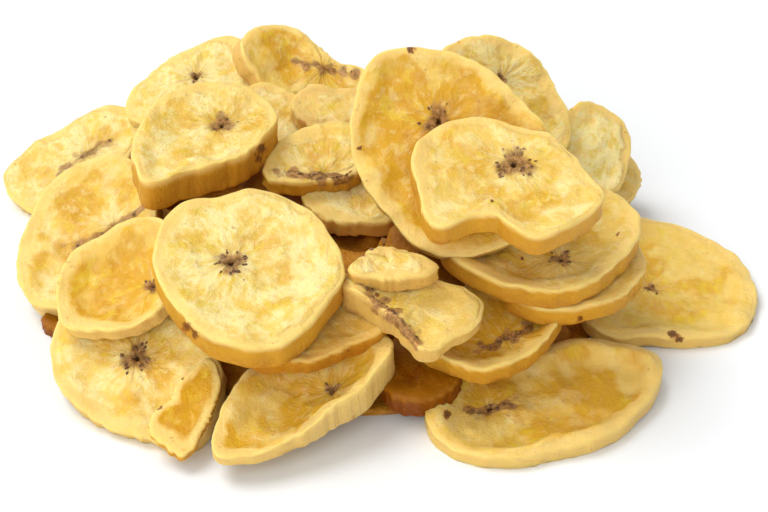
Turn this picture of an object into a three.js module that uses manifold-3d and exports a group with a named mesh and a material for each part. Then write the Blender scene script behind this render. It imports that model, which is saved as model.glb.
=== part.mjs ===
// A loose heap of dried banana slices, lying on a bare surface.
//
// Each slice is a thick, slightly dished disc with an uneven outline, and one is bent. The slices that
// show were set by eye: each has a few points of its rim in the picture (columns and rows of
// a 768 x 512 frame seen from 36 degrees above the table) and a height above the table. It then moves
// along its own line of sight until it rests on what lies under it. Hidden slices, and those on the far
// side, are dropped by rule into the room that is left. Everything is fused over one solid core.
//
// Units are millimetres, +Z is up, the viewer stands towards -Y.

import * as THREE from "three";
import Module from "manifold-3d";

// ---------------------------------------------------------------- driving dimensions

const VIEW = {
  width: 768, // columns of the picture
  height: 512, // rows of the picture
  elevation: 36, // degrees above the table
  distance: 360, // from the eye to the middle of the heap
  focal: 85, // focal length for a frame 36 wide
  frame: 36,
  aim: [0, 0, 20], // the point in the middle of the picture
  cell: 8, // columns and rows that are looked at together
};

const SINK = 0.9; // how far a slice presses into what it rests on
const RISE = 14; // how far a slice may climb along its line of sight to clear its neighbours
const FALL = 5; // how far it may come down to find something to rest on
const STEP_ALONG = 0.5; // step of both searches

const GRID = { step: 1.5, x0: -100, y0: -75, nx: 134, ny: 134 }; // map of heights

const MOUND = { x: -5, y: 24, rx: 72, ry: 66, h: 42 }; // shape of the whole heap, as a dome
const FRONT_LINE = 6; // in front of this y the hidden slices stay low
const FRONT_END = -30; // and none has its middle past this one
const FRONT_HEIGHT = 20;

const DROPS = { passes: 26, whole: 12, pitch: 27, row: 0.87, reach: 4, clear: 0.93, slack: 0.5, low: 12 };
// How far behind the others a hidden slice lies, in millimetres, and the share of it that may show.
const TUCKED = { behind: 3, seen: 0.02 };
const RIM_POINTS = 36;
const HIDDEN = { radius: 11.5, more: 4.5, thick: 4.5, thicker: 1.2, round: 0.8, broken: 0.68, steepest: 34 };

const SHAFT = { share: 0.32, sides: 6, below: 1, low: 10.5 };
const STRAP = { width: 7, high: 1 };
const PIN = { radius: 1.6, half: 2, sides: 4, above: 20 }; // hidden slices higher than this have one too
const CORE = { share: 0.76, height: 28, under: 1.5, look: 4, rings: 5, spokes: 20 };

const SPOKES_SHOWN = 18; // sides of a slice that shows
const SPOKES_HIDDEN = 11;
const RINGS_SHOWN = [0.5, 0.93]; // shares of the radius; the last ring, 1, closes the rim
const RINGS_HIDDEN = [0.92];
const RIM_POWER = 12; // how square the rim is
const RIM_LIFT = 0.35; // the rim that is seen lies this share of the thickness above the middle

const LOOK = { color: 0xe6c46c, roughness: 0.55, metalness: 0 };

// Slices that show, from the table up. z: height of the middle above the table. tilt: lean from level
// and the direction it leans to (0 is towards the viewer, 90 to the right). dish: how far the rim stands
// above the middle. rim: the face's outline in the picture, hidden stretches guessed. bend: degrees from
// rim to rim, and the direction it runs in. wedge: share by which it is thicker than its middle at the
// rim in a direction, and thinner opposite.
const SHOWN = [
  { name: "right_oval", z: 3.5, thick: 3.2, tilt: [6, 60], dish: 1,
    rim: [[596, 331], [580, 300], [588, 258], [636, 219], [700, 236], [740, 260], [757, 298], [742, 331],
      [700, 340], [650, 337]] },
  { name: "front_right", z: 3.5, thick: 3.6, tilt: [5, 0], dish: 1.2,
    rim: [[424, 413], [446, 376], [530, 349], [610, 342], [658, 356], [663, 374], [634, 418], [560, 451],
      [505, 461], [452, 449]] },
  { name: "deep_brown", z: 4, thick: 5, tilt: [8, 0],
    rim: [[378, 372], [405, 335], [445, 342], [462, 372], [438, 398], [398, 400]] },
  { name: "left_dark", z: 3, thick: 3.5, tilt: [5, 0],
    rim: [[42, 320], [60, 308], [90, 314], [96, 330], [76, 341], [52, 331]] },
  { name: "left_large", z: 13, thick: 5.5, tilt: [26, -25], dish: 1.5,
    rim: [[17, 275], [28, 222], [62, 174], [118, 155], [152, 185], [155, 235], [120, 285], [62, 311],
      [30, 303]] },
  { name: "front_left", z: 11.5, thick: 4.6, tilt: [27, -20],
    rim: [[50, 366], [62, 314], [112, 286], [170, 298], [206, 335], [223, 372], [216, 410], [186, 452],
      [145, 440], [85, 416]] },
  { name: "front_bowl", z: 9, thick: 5.4, tilt: [14, -12], dish: 2.6, wedge: [0.55, 20],
    rim: [[214, 454], [218, 412], [240, 376], [310, 346], [375, 336], [395, 348], [376, 381], [335, 412],
      [290, 439], [245, 455]] },
  { name: "front_flap", z: 10, thick: 2.2, tilt: [23, 5],
    rim: [[148, 427], [170, 400], [191, 371], [209, 358], [220, 374], [215, 404], [202, 432], [184, 457],
      [164, 447]] },
  { name: "stack_lower", z: 11.5, thick: 4.8, tilt: [10, 0], dish: 1.8,
    rim: [[420, 343], [445, 361], [482, 371], [522, 358], [552, 334], [562, 308], [530, 286], [480, 282],
      [435, 305]] },
  { name: "under_round", z: 17, thick: 4.5, tilt: [16, 12], dish: 1,
    rim: [[240, 335], [258, 290], [320, 268], [375, 290], [387, 326], [350, 346], [295, 362], [255, 360]] },
  { name: "back_left", z: 9, thick: 4.6, tilt: [26, -25],
    rim: [[4, 178], [24, 153], [65, 127], [120, 106], [146, 116], [132, 156], [95, 192], [50, 216],
      [20, 207]] },
  { name: "right_back_b", z: 10, thick: 5, tilt: [25, 60],
    rim: [[584, 178], [606, 150], [630, 158], [638, 190], [630, 202], [604, 204]] },
  { name: "right_back_a", z: 16, thick: 5, tilt: [34, 35],
    rim: [[560, 150], [566, 114], [584, 103], [606, 110], [627, 132], [627, 165], [612, 194], [582, 196],
      [564, 176]] },
  { name: "left_curled", z: 19, thick: 4.4, tilt: [28, -30], dish: 2.6,
    rim: [[57, 305], [68, 258], [104, 234], [150, 216], [182, 236], [184, 282], [150, 318], [95, 332],
      [62, 325]] },
  { name: "stack_middle", z: 18, thick: 4.6, tilt: [6, 10],
    rim: [[508, 296], [545, 311], [585, 309], [630, 290], [646, 262], [622, 234], [575, 226], [530, 242]] },
  { name: "curled_half", z: 20, thick: 5, tilt: [14, 12], dish: 1, wedge: [0.4, 170],
    rim: [[342, 290], [351, 281], [384, 276], [430, 279], [466, 288], [482, 301], [478, 322], [452, 338],
      [424, 351], [411, 338], [394, 321], [368, 304]] },
  { name: "back_pale", z: 19, thick: 4.6, tilt: [24, -20],
    rim: [[126, 112], [150, 75], [190, 50], [235, 38], [258, 62], [252, 96], [190, 122], [145, 126]] },
  { name: "half_lower", z: 22, thick: 4.4, tilt: [14, 5],
    rim: [[302, 192], [320, 172], [362, 168], [390, 190], [393, 219], [360, 226], [325, 220]] },
  { name: "back_curl", z: 27, thick: 4.6, tilt: [30, 12], bend: [50, 8],
    rim: [[233, 62], [240, 40], [285, 26], [316, 44], [342, 66], [374, 80], [368, 96], [310, 94],
      [250, 84]] },
  { name: "mid_pale", z: 25, thick: 4.4, tilt: [22, 0],
    rim: [[238, 108], [256, 84], [292, 92], [328, 122], [320, 142], [285, 150], [250, 136]] },
  { name: "mid_beige", z: 27, thick: 4.2, tilt: [20, 10],
    rim: [[290, 106], [300, 90], [336, 88], [372, 98], [376, 118], [350, 132], [306, 126]] },
  { name: "half_upper", z: 27, thick: 4.6, tilt: [18, 5],
    rim: [[266, 180], [275, 148], [310, 127], [360, 128], [376, 150], [360, 172], [320, 183], [288, 185]] },
  { name: "small_torn", z: 24, thick: 4, tilt: [12, 0],
    rim: [[350, 272], [362, 258], [386, 247], [415, 255], [437, 267], [405, 279], [375, 278]] },
  { name: "stack_upper", z: 25, thick: 5.2, tilt: [9, 5], dish: 2,
    rim: [[440, 248], [470, 272], [520, 290], [575, 290], [620, 263], [642, 226], [622, 198], [560, 180],
      [500, 184], [455, 212]] },
  { name: "front_round", z: 28, thick: 7, tilt: [17, 5], dish: 1.2,
    rim: [[152, 265], [157, 235], [168, 214], [186, 203], [222, 197], [258, 190], [282, 197], [305, 207],
      [328, 232], [342, 256], [346, 276], [336, 296], [320, 315], [300, 337], [280, 349], [250, 351],
      [215, 343], [190, 326], [168, 300]] },
  { name: "top_left", z: 32, thick: 8, tilt: [10, 15], dish: 1.2,
    rim: [[134, 165], [142, 125], [165, 98], [210, 84], [255, 94], [278, 120], [262, 143], [222, 166],
      [180, 176], [148, 186]] },
  { name: "top_behind", z: 32, thick: 4.8, tilt: [42, 15], dish: 1.5,
    rim: [[430, 66], [458, 40], [495, 36], [532, 54], [556, 90], [568, 115], [566, 150], [515, 160],
      [460, 130]] },
  { name: "top_big", z: 35, thick: 5.2, tilt: [47, -5], dish: 1.5,
    rim: [[353, 140], [358, 100], [378, 58], [425, 51], [480, 67], [522, 104], [556, 150], [556, 200],
      [500, 244], [430, 251], [390, 214]] },
  { name: "top_square", z: 37, thick: 5.2, tilt: [12, 5], dish: 1,
    rim: [[413, 160], [421, 143], [441, 127], [476, 120], [512, 128], [546, 136], [567, 152], [586, 176],
      [603, 199], [589, 214], [565, 228], [540, 238], [516, 232], [497, 217], [470, 217], [447, 228],
      [431, 223], [423, 206], [417, 182]] },
];

// ---------------------------------------------------------------- small helpers

const RAD = Math.PI / 180;

// A repeatable random draw between 0 and 1: the digits far behind the point of a sine.
function draw(n, k) {
  const s = Math.sin(n * 12.9898 + k * 78.233) * 43758.5453;
  return s - Math.floor(s);
}

function clamp(x, low, high) {
  return Math.min(high, Math.max(low, x));
}

// The point at height h on the line of sight through a column and row of the picture.
const lens = (VIEW.focal / VIEW.frame) * VIEW.width;
const slope = VIEW.elevation * RAD;
const forward = new THREE.Vector3(0, Math.cos(slope), -Math.sin(slope));
const upward = new THREE.Vector3(0, Math.sin(slope), Math.cos(slope));
const eye = new THREE.Vector3(...VIEW.aim).addScaledVector(forward, -VIEW.distance);

// How far a point is from the eye, along the middle line of sight.
function distance(point) {
  return point.clone().sub(eye).dot(forward);
}

function inPicture(point) {
  const ray = point.clone().sub(eye);
  const far = ray.dot(forward);
  return [VIEW.width / 2 + (lens * ray.x) / far, VIEW.height / 2 - (lens * ray.dot(upward)) / far];
}

function onSight([column, row], h) {
  const ray = forward.clone();
  ray.x += (column - VIEW.width / 2) / lens;
  ray.addScaledVector(upward, (VIEW.height / 2 - row) / lens);
  return eye.clone().addScaledVector(ray, (h - eye.z) / ray.z);
}

// ---------------------------------------------------------------- the shape of one slice

// The three axes of a slice: level, up its slope, and out of its face. A dropped slice is turned too.
function axesOf(slice) {
  const [lean, toward, turn] = [...slice.tilt, 0].map((degrees) => degrees * RAD);
  const out = new THREE.Vector3(Math.sin(lean) * Math.sin(toward), -Math.sin(lean) * Math.cos(toward),
    Math.cos(lean));
  const level = new THREE.Vector3(1, 0, 0).addScaledVector(out, -out.x).normalize();
  const side = new THREE.Vector3().crossVectors(out, level);
  const along = level.multiplyScalar(Math.cos(turn)).addScaledVector(side, Math.sin(turn));
  return [along, new THREE.Vector3().crossVectors(out, along), out];
}

// The middle of a slice that shows, when that is at height h. Its rim lies above its middle.
function placeOnSight(slice, h) {
  const lift = slice.thick * RIM_LIFT + (slice.dish ?? 0);
  const column = slice.rim.reduce((sum, [u]) => sum + u, 0) / slice.rim.length;
  const row = slice.rim.reduce((sum, [, v]) => sum + v, 0) / slice.rim.length;
  return onSight([column, row], h + lift * slice.axes[2].z).addScaledVector(slice.axes[2], -lift);
}

// Radius in each direction, a degree apart, of a slice that shows: a smooth curve through its rim's
// points, put on the slice's own plane.
function radiiFromRim(slice) {
  const middle = placeOnSight(slice, slice.z);
  const lift = slice.thick * RIM_LIFT + (slice.dish ?? 0);
  const top = middle.clone().addScaledVector(slice.axes[2], lift);
  const knots = slice.rim.map((pixel) => {
    const ray = onSight(pixel, 0).sub(eye);
    const reach = top.clone().sub(eye).dot(slice.axes[2]) / ray.dot(slice.axes[2]);
    const p = eye.clone().addScaledVector(ray, reach).sub(top);
    const [a, b] = [p.dot(slice.axes[0]), p.dot(slice.axes[1])];
    return { angle: (Math.atan2(b, a) / RAD + 360) % 360, radius: Math.hypot(a, b) };
  }).sort((p, q) => p.angle - q.angle);
  return Array.from({ length: 360 }, (_, degree) => smoothThrough(knots, degree));
}

// A smooth closed curve through knots at uneven angles, read at one angle.
function smoothThrough(knots, degree) {
  const count = knots.length;
  const at = (i) => {
    const turns = Math.floor(i / count);
    const knot = knots[i - turns * count];
    return { angle: knot.angle + 360 * turns, radius: knot.radius };
  };
  let i = -1;
  while (at(i + 1).angle <= degree) {
    i += 1;
  }
  const slopeAt = (j) => (at(j + 1).radius - at(j - 1).radius) / (at(j + 1).angle - at(j - 1).angle);
  const [from, to] = [at(i), at(i + 1)];
  const span = to.angle - from.angle;
  const t = (degree - from.angle) / span;
  return from.radius * (1 + 2 * t) * (1 - t) ** 2 + to.radius * t * t * (3 - 2 * t)
    + span * (slopeAt(i) * t * (1 - t) ** 2 - slopeAt(i + 1) * t * t * (1 - t));
}

// Radius in each direction of a dropped slice: an oval with two kinds of lobe.
function radiiOfOval({ length, width, lobes }) {
  return Array.from({ length: 360 }, (_, degree) => {
    const theta = degree * RAD;
    const oval = (length * width) / Math.hypot(width * Math.cos(theta), length * Math.sin(theta));
    return lobes.reduce((radius, [waves, size, from]) => (
      radius + oval * size * Math.cos(waves * (theta - from * RAD))
    ), oval);
  });
}

// The bent middle line of a slice: its slope grows evenly, and position along and above are the running
// sums of the slope's cosine and sine.
const REACH = 45;
const FINE = 0.5;

function bentLine(slice) {
  const count = Math.round((2 * REACH) / FINE) + 1;
  const even = slice.bend ? (slice.bend[0] * RAD) / (slice.radii[0] + slice.radii[180]) : 0;
  const tilt = [];
  for (let i = 0; i < count; i += 1) {
    tilt.push(even * (-REACH + i * FINE));
  }
  const x = [0];
  const z = [0];
  for (let i = 1; i < count; i += 1) {
    x.push(x[i - 1] + ((Math.cos(tilt[i]) + Math.cos(tilt[i - 1])) / 2) * FINE);
    z.push(z[i - 1] + ((Math.sin(tilt[i]) + Math.sin(tilt[i - 1])) / 2) * FINE);
  }
  const middle = (count - 1) / 2;
  return { tilt, x: x.map((value) => value - x[middle]), z: z.map((value) => value - z[middle]) };
}

function read(table, s) {
  const place = clamp((s + REACH) / FINE, 0, table.length - 1.000001);
  const i = Math.floor(place);
  return table[i] + (table[i + 1] - table[i]) * (place - i);
}

function radiusAt(slice, theta) {
  const degree = ((theta / RAD) % 360 + 360) % 360;
  const i = Math.floor(degree) % 360;
  return slice.radii[i] + (slice.radii[(i + 1) % 360] - slice.radii[i]) * (degree - Math.floor(degree));
}

// A point of a slice: rho is the share of the radius, theta the direction, side 1 for the face and -1
// for the underside. Both sheets are parallel, and curve together at the rim, where they meet.
function pointOf(slice, rho, theta, side) {
  const t = side * Math.sqrt(Math.max(0, 1 - rho ** RIM_POWER));
  const radius = rho * radiusAt(slice, theta);
  const a = radius * Math.cos(theta);
  const b = radius * Math.sin(theta);
  const [more, way] = slice.wedge ?? [0, 0];
  const thick = slice.thick * (1 + more * rho * Math.cos(theta - way * RAD));
  const high = (t * thick) / 2 + (slice.dish ?? 0) * rho * rho;
  const axis = (slice.bend?.[1] ?? 0) * RAD;
  const s = a * Math.cos(axis) + b * Math.sin(axis);
  const q = -a * Math.sin(axis) + b * Math.cos(axis);
  const tilt = read(slice.line.tilt, s);
  const x = read(slice.line.x, s) - high * Math.sin(tilt);
  const z = read(slice.line.z, s) + high * Math.cos(tilt);
  return slice.axes[0].clone().multiplyScalar(x * Math.cos(axis) - q * Math.sin(axis))
    .addScaledVector(slice.axes[1], x * Math.sin(axis) + q * Math.cos(axis))
    .addScaledVector(slice.axes[2], z);
}

// Points spread over the face (side = 1) or the underside (side = -1).
function sheet(slice, side, rings, spokes) {
  const points = [];
  for (let i = 0; i < rings; i += 1) {
    for (let j = 0; j < spokes; j += 1) {
      points.push(pointOf(slice, i / (rings - 1), (2 * Math.PI * j) / spokes, side));
    }
  }
  return points;
}

function ready(slice) {
  slice.axes = axesOf(slice);
  slice.radii = slice.rim ? radiiFromRim(slice) : radiiOfOval(slice);
  slice.line = bentLine(slice);
  return slice;
}

// ---------------------------------------------------------------- maps of heights over the table

class HeightMap {
  constructor(value) {
    this.z = new Float64Array(GRID.nx * GRID.ny).fill(value);
  }

  cell(x, y) {
    const i = Math.round((x - GRID.x0) / GRID.step);
    const j = Math.round((y - GRID.y0) / GRID.step);
    return i >= 0 && i < GRID.nx && j >= 0 && j < GRID.ny ? j * GRID.nx + i : -1;
  }

  // Keeps, in the cell under each point, the value that pick chooses, such as the larger.
  mark(points, at, pick) {
    for (const p of points) {
      const k = this.cell(p.x + at.x, p.y + at.y);
      if (k >= 0) {
        this.z[k] = pick(this.z[k], p.z + at.z);
      }
    }
  }

  height(x, y) {
    const fx = clamp((x - GRID.x0) / GRID.step, 0, GRID.nx - 1.001);
    const fy = clamp((y - GRID.y0) / GRID.step, 0, GRID.ny - 1.001);
    const k = Math.floor(fy) * GRID.nx + Math.floor(fx);
    const u = fx - Math.floor(fx);
    const v = fy - Math.floor(fy);
    const near = this.z[k] * (1 - u) + this.z[k + 1] * u;
    const far = this.z[k + GRID.nx] * (1 - u) + this.z[k + GRID.nx + 1] * u;
    return near * (1 - v) + far * v;
  }

  // The height at which a slice with this underside comes to rest over x, y.
  rest(under, x, y) {
    return Math.max(...under.map((p) => this.height(p.x + x, p.y + y) - p.z));
  }

  // The point of the underside that touches first.
  touch(under, x, y) {
    const gap = (p) => this.height(p.x + x, p.y + y) - p.z;
    return under.reduce((best, p) => (gap(p) > gap(best) ? p : best));
  }
}

// ---------------------------------------------------------------- laying the slices

// The place between two, low and high, where room turns from too little to enough.
function firstClear(room, low, high) {
  let under = low;
  let over = high;
  for (let i = 0; i < 16; i += 1) {
    const middle = (under + over) / 2;
    if (room(middle) > 0) {
      over = middle;
    } else {
      under = middle;
    }
  }
  return over;
}

// Moves a slice that shows along its line of sight, up out of its neighbours or down onto them. One
// that finds nothing to rest on stays at the height it was set to: a hidden slice carries it.
function setOnSight(pile, slice) {
  const under = sheet(slice, -1, 22, 80);
  const room = (h) => {
    const p = placeOnSight(slice, h);
    return h - pile.rest(under, p.x, p.y);
  };
  let low = slice.z;
  let high = slice.z;
  while (room(high) < 0 && high < slice.z + RISE) {
    low = high;
    high += STEP_ALONG;
  }
  while (room(low) > 0 && low > slice.z - FALL) {
    high = low;
    low -= STEP_ALONG;
  }
  slice.hangs = room(low) > 0;
  slice.place = placeOnSight(slice, slice.hangs ? slice.z : firstClear(room, low, high));
  slice.touch = pile.touch(under, slice.place.x, slice.place.y);
  slice.place.z -= SINK;
  pile.mark(sheet(slice, 1, 22, 80), slice.place, Math.max);
}

// Which cells of the picture the slices that show cover.
class Outline {
  constructor(slices) {
    this.wide = Math.ceil(VIEW.width / VIEW.cell);
    this.nearest = new Map();
    this.top = new Array(this.wide).fill(Infinity);
    this.bottom = new Array(this.wide).fill(-Infinity);
    for (const slice of slices) {
      for (const p of [...sheet(slice, 1, 30, 110), ...sheet(slice, -1, 30, 110)]) {
        const [i, j] = this.cell(p.add(slice.place));
        const k = j * this.wide + i;
        this.nearest.set(k, Math.min(this.nearest.get(k) ?? Infinity, distance(p)));
        this.top[i] = Math.min(this.top[i], j);
        this.bottom[i] = Math.max(this.bottom[i], j);
      }
    }
  }

  cell(point) {
    return inPicture(point).map((value) => Math.floor(value / VIEW.cell));
  }

  // Whether a point stays inside the outline and, when it is low, behind a slice that shows.
  hides(point) {
    const [i, j] = this.cell(point);
    const behind = this.nearest.has(j * this.wide + i);
    return j > this.top[i] && j < this.bottom[i] && (point.z > DROPS.low || behind);
  }

  // The share of points that no slice that shows hides from the eye.
  inFront(points) {
    const free = points.filter((p) => {
      const [i, j] = this.cell(p);
      return distance(p) < (this.nearest.get(j * this.wide + i) ?? Infinity) + TUCKED.behind;
    });
    return free.length / points.length;
  }
}

// Room for hidden slices: under those that show, and elsewhere under the dome of the heap.
function roomMap(slices) {
  const room = new HeightMap(Infinity);
  for (const slice of slices) {
    room.mark(sheet(slice, -1, 30, 110), slice.place, Math.min);
  }
  for (let j = 0; j < GRID.ny; j += 1) {
    for (let i = 0; i < GRID.nx; i += 1) {
      const k = j * GRID.nx + i;
      if (room.z[k] === Infinity) {
        const x = GRID.x0 + i * GRID.step;
        const y = GRID.y0 + j * GRID.step;
        const dome = MOUND.h * Math.sqrt(clamp(1 - moundShare(x, y) ** 2, 0, 1));
        const front = y > FRONT_END ? Math.min(FRONT_HEIGHT, dome) : 0;
        room.z[k] = y > FRONT_LINE ? dome : front;
      }
    }
  }
  return room;
}

function moundShare(x, y) {
  return Math.hypot((x - MOUND.x) / MOUND.rx, (y - MOUND.y) / MOUND.ry);
}

// Leans a dropped slice like the plane that best fits what lies under it.
function settle(pile, slice, x, y) {
  let along = 0;
  let across = 0;
  let spread = 0;
  for (const share of [0.55, 0.95]) {
    for (let i = 0; i < 12; i += 1) {
      const dx = share * slice.length * Math.cos((i * Math.PI) / 6);
      const dy = share * slice.length * Math.sin((i * Math.PI) / 6);
      const h = pile.height(x + dx, y + dy);
      along += dx * h;
      across += dy * h;
      spread += dx * dx;
    }
  }
  const sx = along / spread;
  const sy = across / spread;
  slice.tilt[0] = Math.min(HIDDEN.steepest, Math.atan(Math.hypot(sx, sy)) / RAD);
  slice.tilt[1] = Math.atan2(-sx, sy) / RAD;
}

// Drops slices pass after pass on a shifted grid. One stays where it keeps clear of the room's roof.
function dropHidden(room, outline) {
  const pile = new HeightMap(0);
  const kept = [];
  let n = 0;
  for (let pass = 0; pass < DROPS.passes; pass += 1) {
    for (let j = -DROPS.reach; j <= DROPS.reach; j += 1) {
      for (let i = -DROPS.reach; i <= DROPS.reach; i += 1) {
        n += 1;
        const odd = Math.abs(j % 2);
        const x = MOUND.x + DROPS.pitch * (i + odd / 2 + draw(pass, 3) - 0.5) + 4 * (draw(n, 1) - 0.5);
        const y = MOUND.y + DROPS.pitch * DROPS.row * (j + draw(pass, 4) - 0.5) + 4 * (draw(n, 2) - 0.5);
        if (moundShare(x, y) <= 1 && y > FRONT_END) {
          const slice = hiddenSlice(n, pass >= DROPS.whole);
          settle(pile, slice, x, y);
          ready(slice);
          const under = sheet(slice, -1, 10, RIM_POINTS);
          const at = new THREE.Vector3(x, y, pile.rest(under, x, y));
          const over = sheet(slice, 1, 10, RIM_POINTS);
          const clear = over.filter((p) => p.z + at.z < room.height(p.x + x, p.y + y) + DROPS.slack);
          const placed = over.map((p) => p.clone().add(at));
          const inside = placed.slice(-RIM_POINTS).every((p) => outline.hides(p));
          const fits = clear.length > DROPS.clear * over.length && inside;
          if (fits && outline.inFront(placed) < TUCKED.seen) {
            at.z -= SINK;
            slice.place = at;
            slice.touch = pile.touch(under, x, y);
            pile.mark(sheet(slice, 1, 22, 80), at, Math.max);
            kept.push(slice);
          }
        }
      }
    }
  }
  return kept;
}

function hiddenSlice(n, broken) {
  const radius = (HIDDEN.radius + HIDDEN.more * draw(n, 12)) * (broken ? HIDDEN.broken : 1);
  return {
    name: `hidden_${n}`,
    length: radius,
    width: radius * (HIDDEN.round + (1 - HIDDEN.round) * draw(n, 13)),
    thick: HIDDEN.thick + HIDDEN.thicker * draw(n, 14),
    tilt: [0, 0, 360 * draw(n, 17)],
    lobes: [[2, 0.06 * draw(n, 9), 90], [3, 0.05 * draw(n, 10), 40]],
    hidden: true,
  };
}

// First the slices that show, and then hidden ones in the room that those leave.
function layHeap() {
  const pile = new HeightMap(0);
  const shown = SHOWN.map((driver) => ready({ ...driver }));
  for (const slice of shown) {
    setOnSight(pile, slice);
  }
  const room = roomMap(shown);
  return { shown, hidden: dropHidden(room, new Outline(shown)), room };
}

// ---------------------------------------------------------------- solids

const wasm = await Module();
wasm.setup();

// A closed solid from rings of points, each closed on itself, between two end points.
function solidOfRings(first, rings, last) {
  const spokes = rings[0].length;
  const points = [first, ...rings.flat(), last];
  const faces = [];
  for (let i = 0; i < spokes; i += 1) {
    const next = (i + 1) % spokes;
    faces.push(0, 1 + i, 1 + next);
    for (let r = 0; r + 1 < rings.length; r += 1) {
      const a = 1 + r * spokes;
      const b = a + spokes;
      faces.push(a + i, b + i, b + next, a + i, b + next, a + next);
    }
    const end = 1 + (rings.length - 1) * spokes;
    faces.push(points.length - 1, end + next, end + i);
  }
  return new wasm.Manifold(new wasm.Mesh({
    numProp: 3,
    vertProperties: new Float32Array(points.flatMap((p) => [p.x, p.y, p.z])),
    triVerts: new Uint32Array(faces),
  }));
}

function sliceSolid(slice) {
  const spokes = slice.hidden ? SPOKES_HIDDEN : SPOKES_SHOWN;
  const shares = slice.hidden ? RINGS_HIDDEN : RINGS_SHOWN;
  const profile = [
    ...shares.map((share) => [share, 1]),
    [1, 1],
    ...[...shares].reverse().map((share) => [share, -1]),
  ];
  const put = (rho, theta, side) => pointOf(slice, rho, theta, side).add(slice.place);
  const rings = profile.map(([rho, side]) => (
    Array.from({ length: spokes }, (_, i) => put(rho, (2 * Math.PI * i) / spokes, side))
  ));
  return solidOfRings(put(0, 0, 1), rings, put(0, 0, -1));
}

// The core: a low dome inside the heap that keeps below the slices that show.
function coreSolid(room) {
  const point = (share, theta) => {
    const x = MOUND.x + MOUND.rx * CORE.share * share * Math.cos(theta);
    const y = MOUND.y + MOUND.ry * CORE.share * share * Math.sin(theta);
    let roof = CORE.height * Math.sqrt(1 - share * share);
    for (const dx of [-CORE.look, 0, CORE.look]) {
      for (const dy of [-CORE.look, 0, CORE.look]) {
        roof = Math.min(roof, room.height(x + dx, y + dy) - CORE.under);
      }
    }
    return new THREE.Vector3(x, y, Math.max(roof, 1));
  };
  const ring = (share) => (
    Array.from({ length: CORE.spokes }, (_, i) => point(share, (2 * Math.PI * i) / CORE.spokes))
  );
  const rings = Array.from({ length: CORE.rings }, (_, i) => ring((i + 1) / CORE.rings));
  rings.push(rings[CORE.rings - 1].map((p) => new THREE.Vector3(p.x, p.y, 0)));
  return solidOfRings(point(0, 0), rings, new THREE.Vector3(MOUND.x, MOUND.y, 0));
}

// An upright bar with this outline; without a top of its own it ends at the outline's points.
function barSolid(outline, low, high) {
  const middle = outline.reduce((sum, p) => sum.add(p), new THREE.Vector3()).divideScalar(outline.length);
  const level = (p, z) => new THREE.Vector3(p.x, p.y, z ?? p.z);
  const rings = [high, low].map((z) => outline.map((p) => level(p, z)));
  return solidOfRings(level(middle, high), rings, level(middle, low));
}

function ringAround(at, radius, sides) {
  return Array.from({ length: sides }, (_, i) => {
    const theta = (2 * Math.PI * i) / sides;
    return new THREE.Vector3(at.x + radius * Math.cos(theta), at.y + radius * Math.sin(theta), at.z);
  });
}

// A shaft from under the table up into the middle of a slice, for one that hangs or lies low.
function shaftSolid(slice) {
  const flat = { ...slice, thick: 0 };
  const corner = (_, i) => pointOf(flat, SHAFT.share, (2 * Math.PI * i) / SHAFT.sides, 1).add(slice.place);
  return barSolid(Array.from({ length: SHAFT.sides }, corner), -SHAFT.below);
}

// A thin strap on the table from the middle of the heap to the foot of a shaft.
function strapSolid(slice) {
  const along = new THREE.Vector3(slice.place.x - MOUND.x, slice.place.y - MOUND.y, 0);
  const side = new THREE.Vector3(-along.y, along.x, 0).setLength(STRAP.width / 2);
  const from = new THREE.Vector3(MOUND.x, MOUND.y, 0);
  const to = from.clone().add(along);
  const left = [from.clone().sub(side), to.clone().sub(side)];
  const right = [to.clone().add(side), from.clone().add(side)];
  return barSolid([...left, ...right], -SHAFT.below, STRAP.high);
}

// A pin through the point where a slice touches what carries it.
function pinSolid(slice) {
  const at = slice.touch.clone().add(slice.place);
  return barSolid(ringAround(at, PIN.radius, PIN.sides), at.z - PIN.half, at.z + PIN.half);
}

// Joins everything, cuts it level with the table and keeps the one large body: a hollow that fusing
// seals inside is filled, and a loose scrap is dropped.
function fuse({ shown, hidden, room }) {
  const onShafts = shown.filter((slice) => slice.hangs || slice.place.z < SHAFT.low);
  const onOthers = shown.filter((slice) => !onShafts.includes(slice));
  const high = hidden.filter((slice) => slice.place.z > PIN.above);
  const parts = [
    coreSolid(room),
    ...onShafts.map(shaftSolid),
    ...onShafts.map(strapSolid),
    ...[...onOthers, ...high].map(pinSolid),
    ...[...shown, ...hidden].map(sliceSolid),
  ];
  const cut = wasm.Manifold.union(parts).trimByPlane([0, 0, 1], 0);
  const bodies = cut.decompose().sort((a, b) => b.volume() - a.volume());
  return bodies[0];
}

function meshOf(solid) {
  const { numProp, vertProperties, triVerts } = solid.getMesh();
  const positions = [];
  for (let i = 0; i < vertProperties.length; i += numProp) {
    positions.push(vertProperties[i], vertProperties[i + 1], vertProperties[i + 2]);
  }
  const geometry = new THREE.BufferGeometry();
  geometry.setAttribute("position", new THREE.Float32BufferAttribute(positions, 3));
  geometry.setIndex([...triVerts]);
  return geometry;
}

function bananaChipHeap() {
  const geometry = meshOf(fuse(layHeap()));
  geometry.computeBoundingBox();
  const middle = geometry.boundingBox.getCenter(new THREE.Vector3());
  geometry.translate(-middle.x, -middle.y, 0);
  const mesh = new THREE.Mesh(geometry, new THREE.MeshStandardMaterial(LOOK));
  mesh.name = "banana_chip_heap";
  return mesh;
}

const heap = new THREE.Group();
heap.add(bananaChipHeap());

export default heap;
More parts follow.
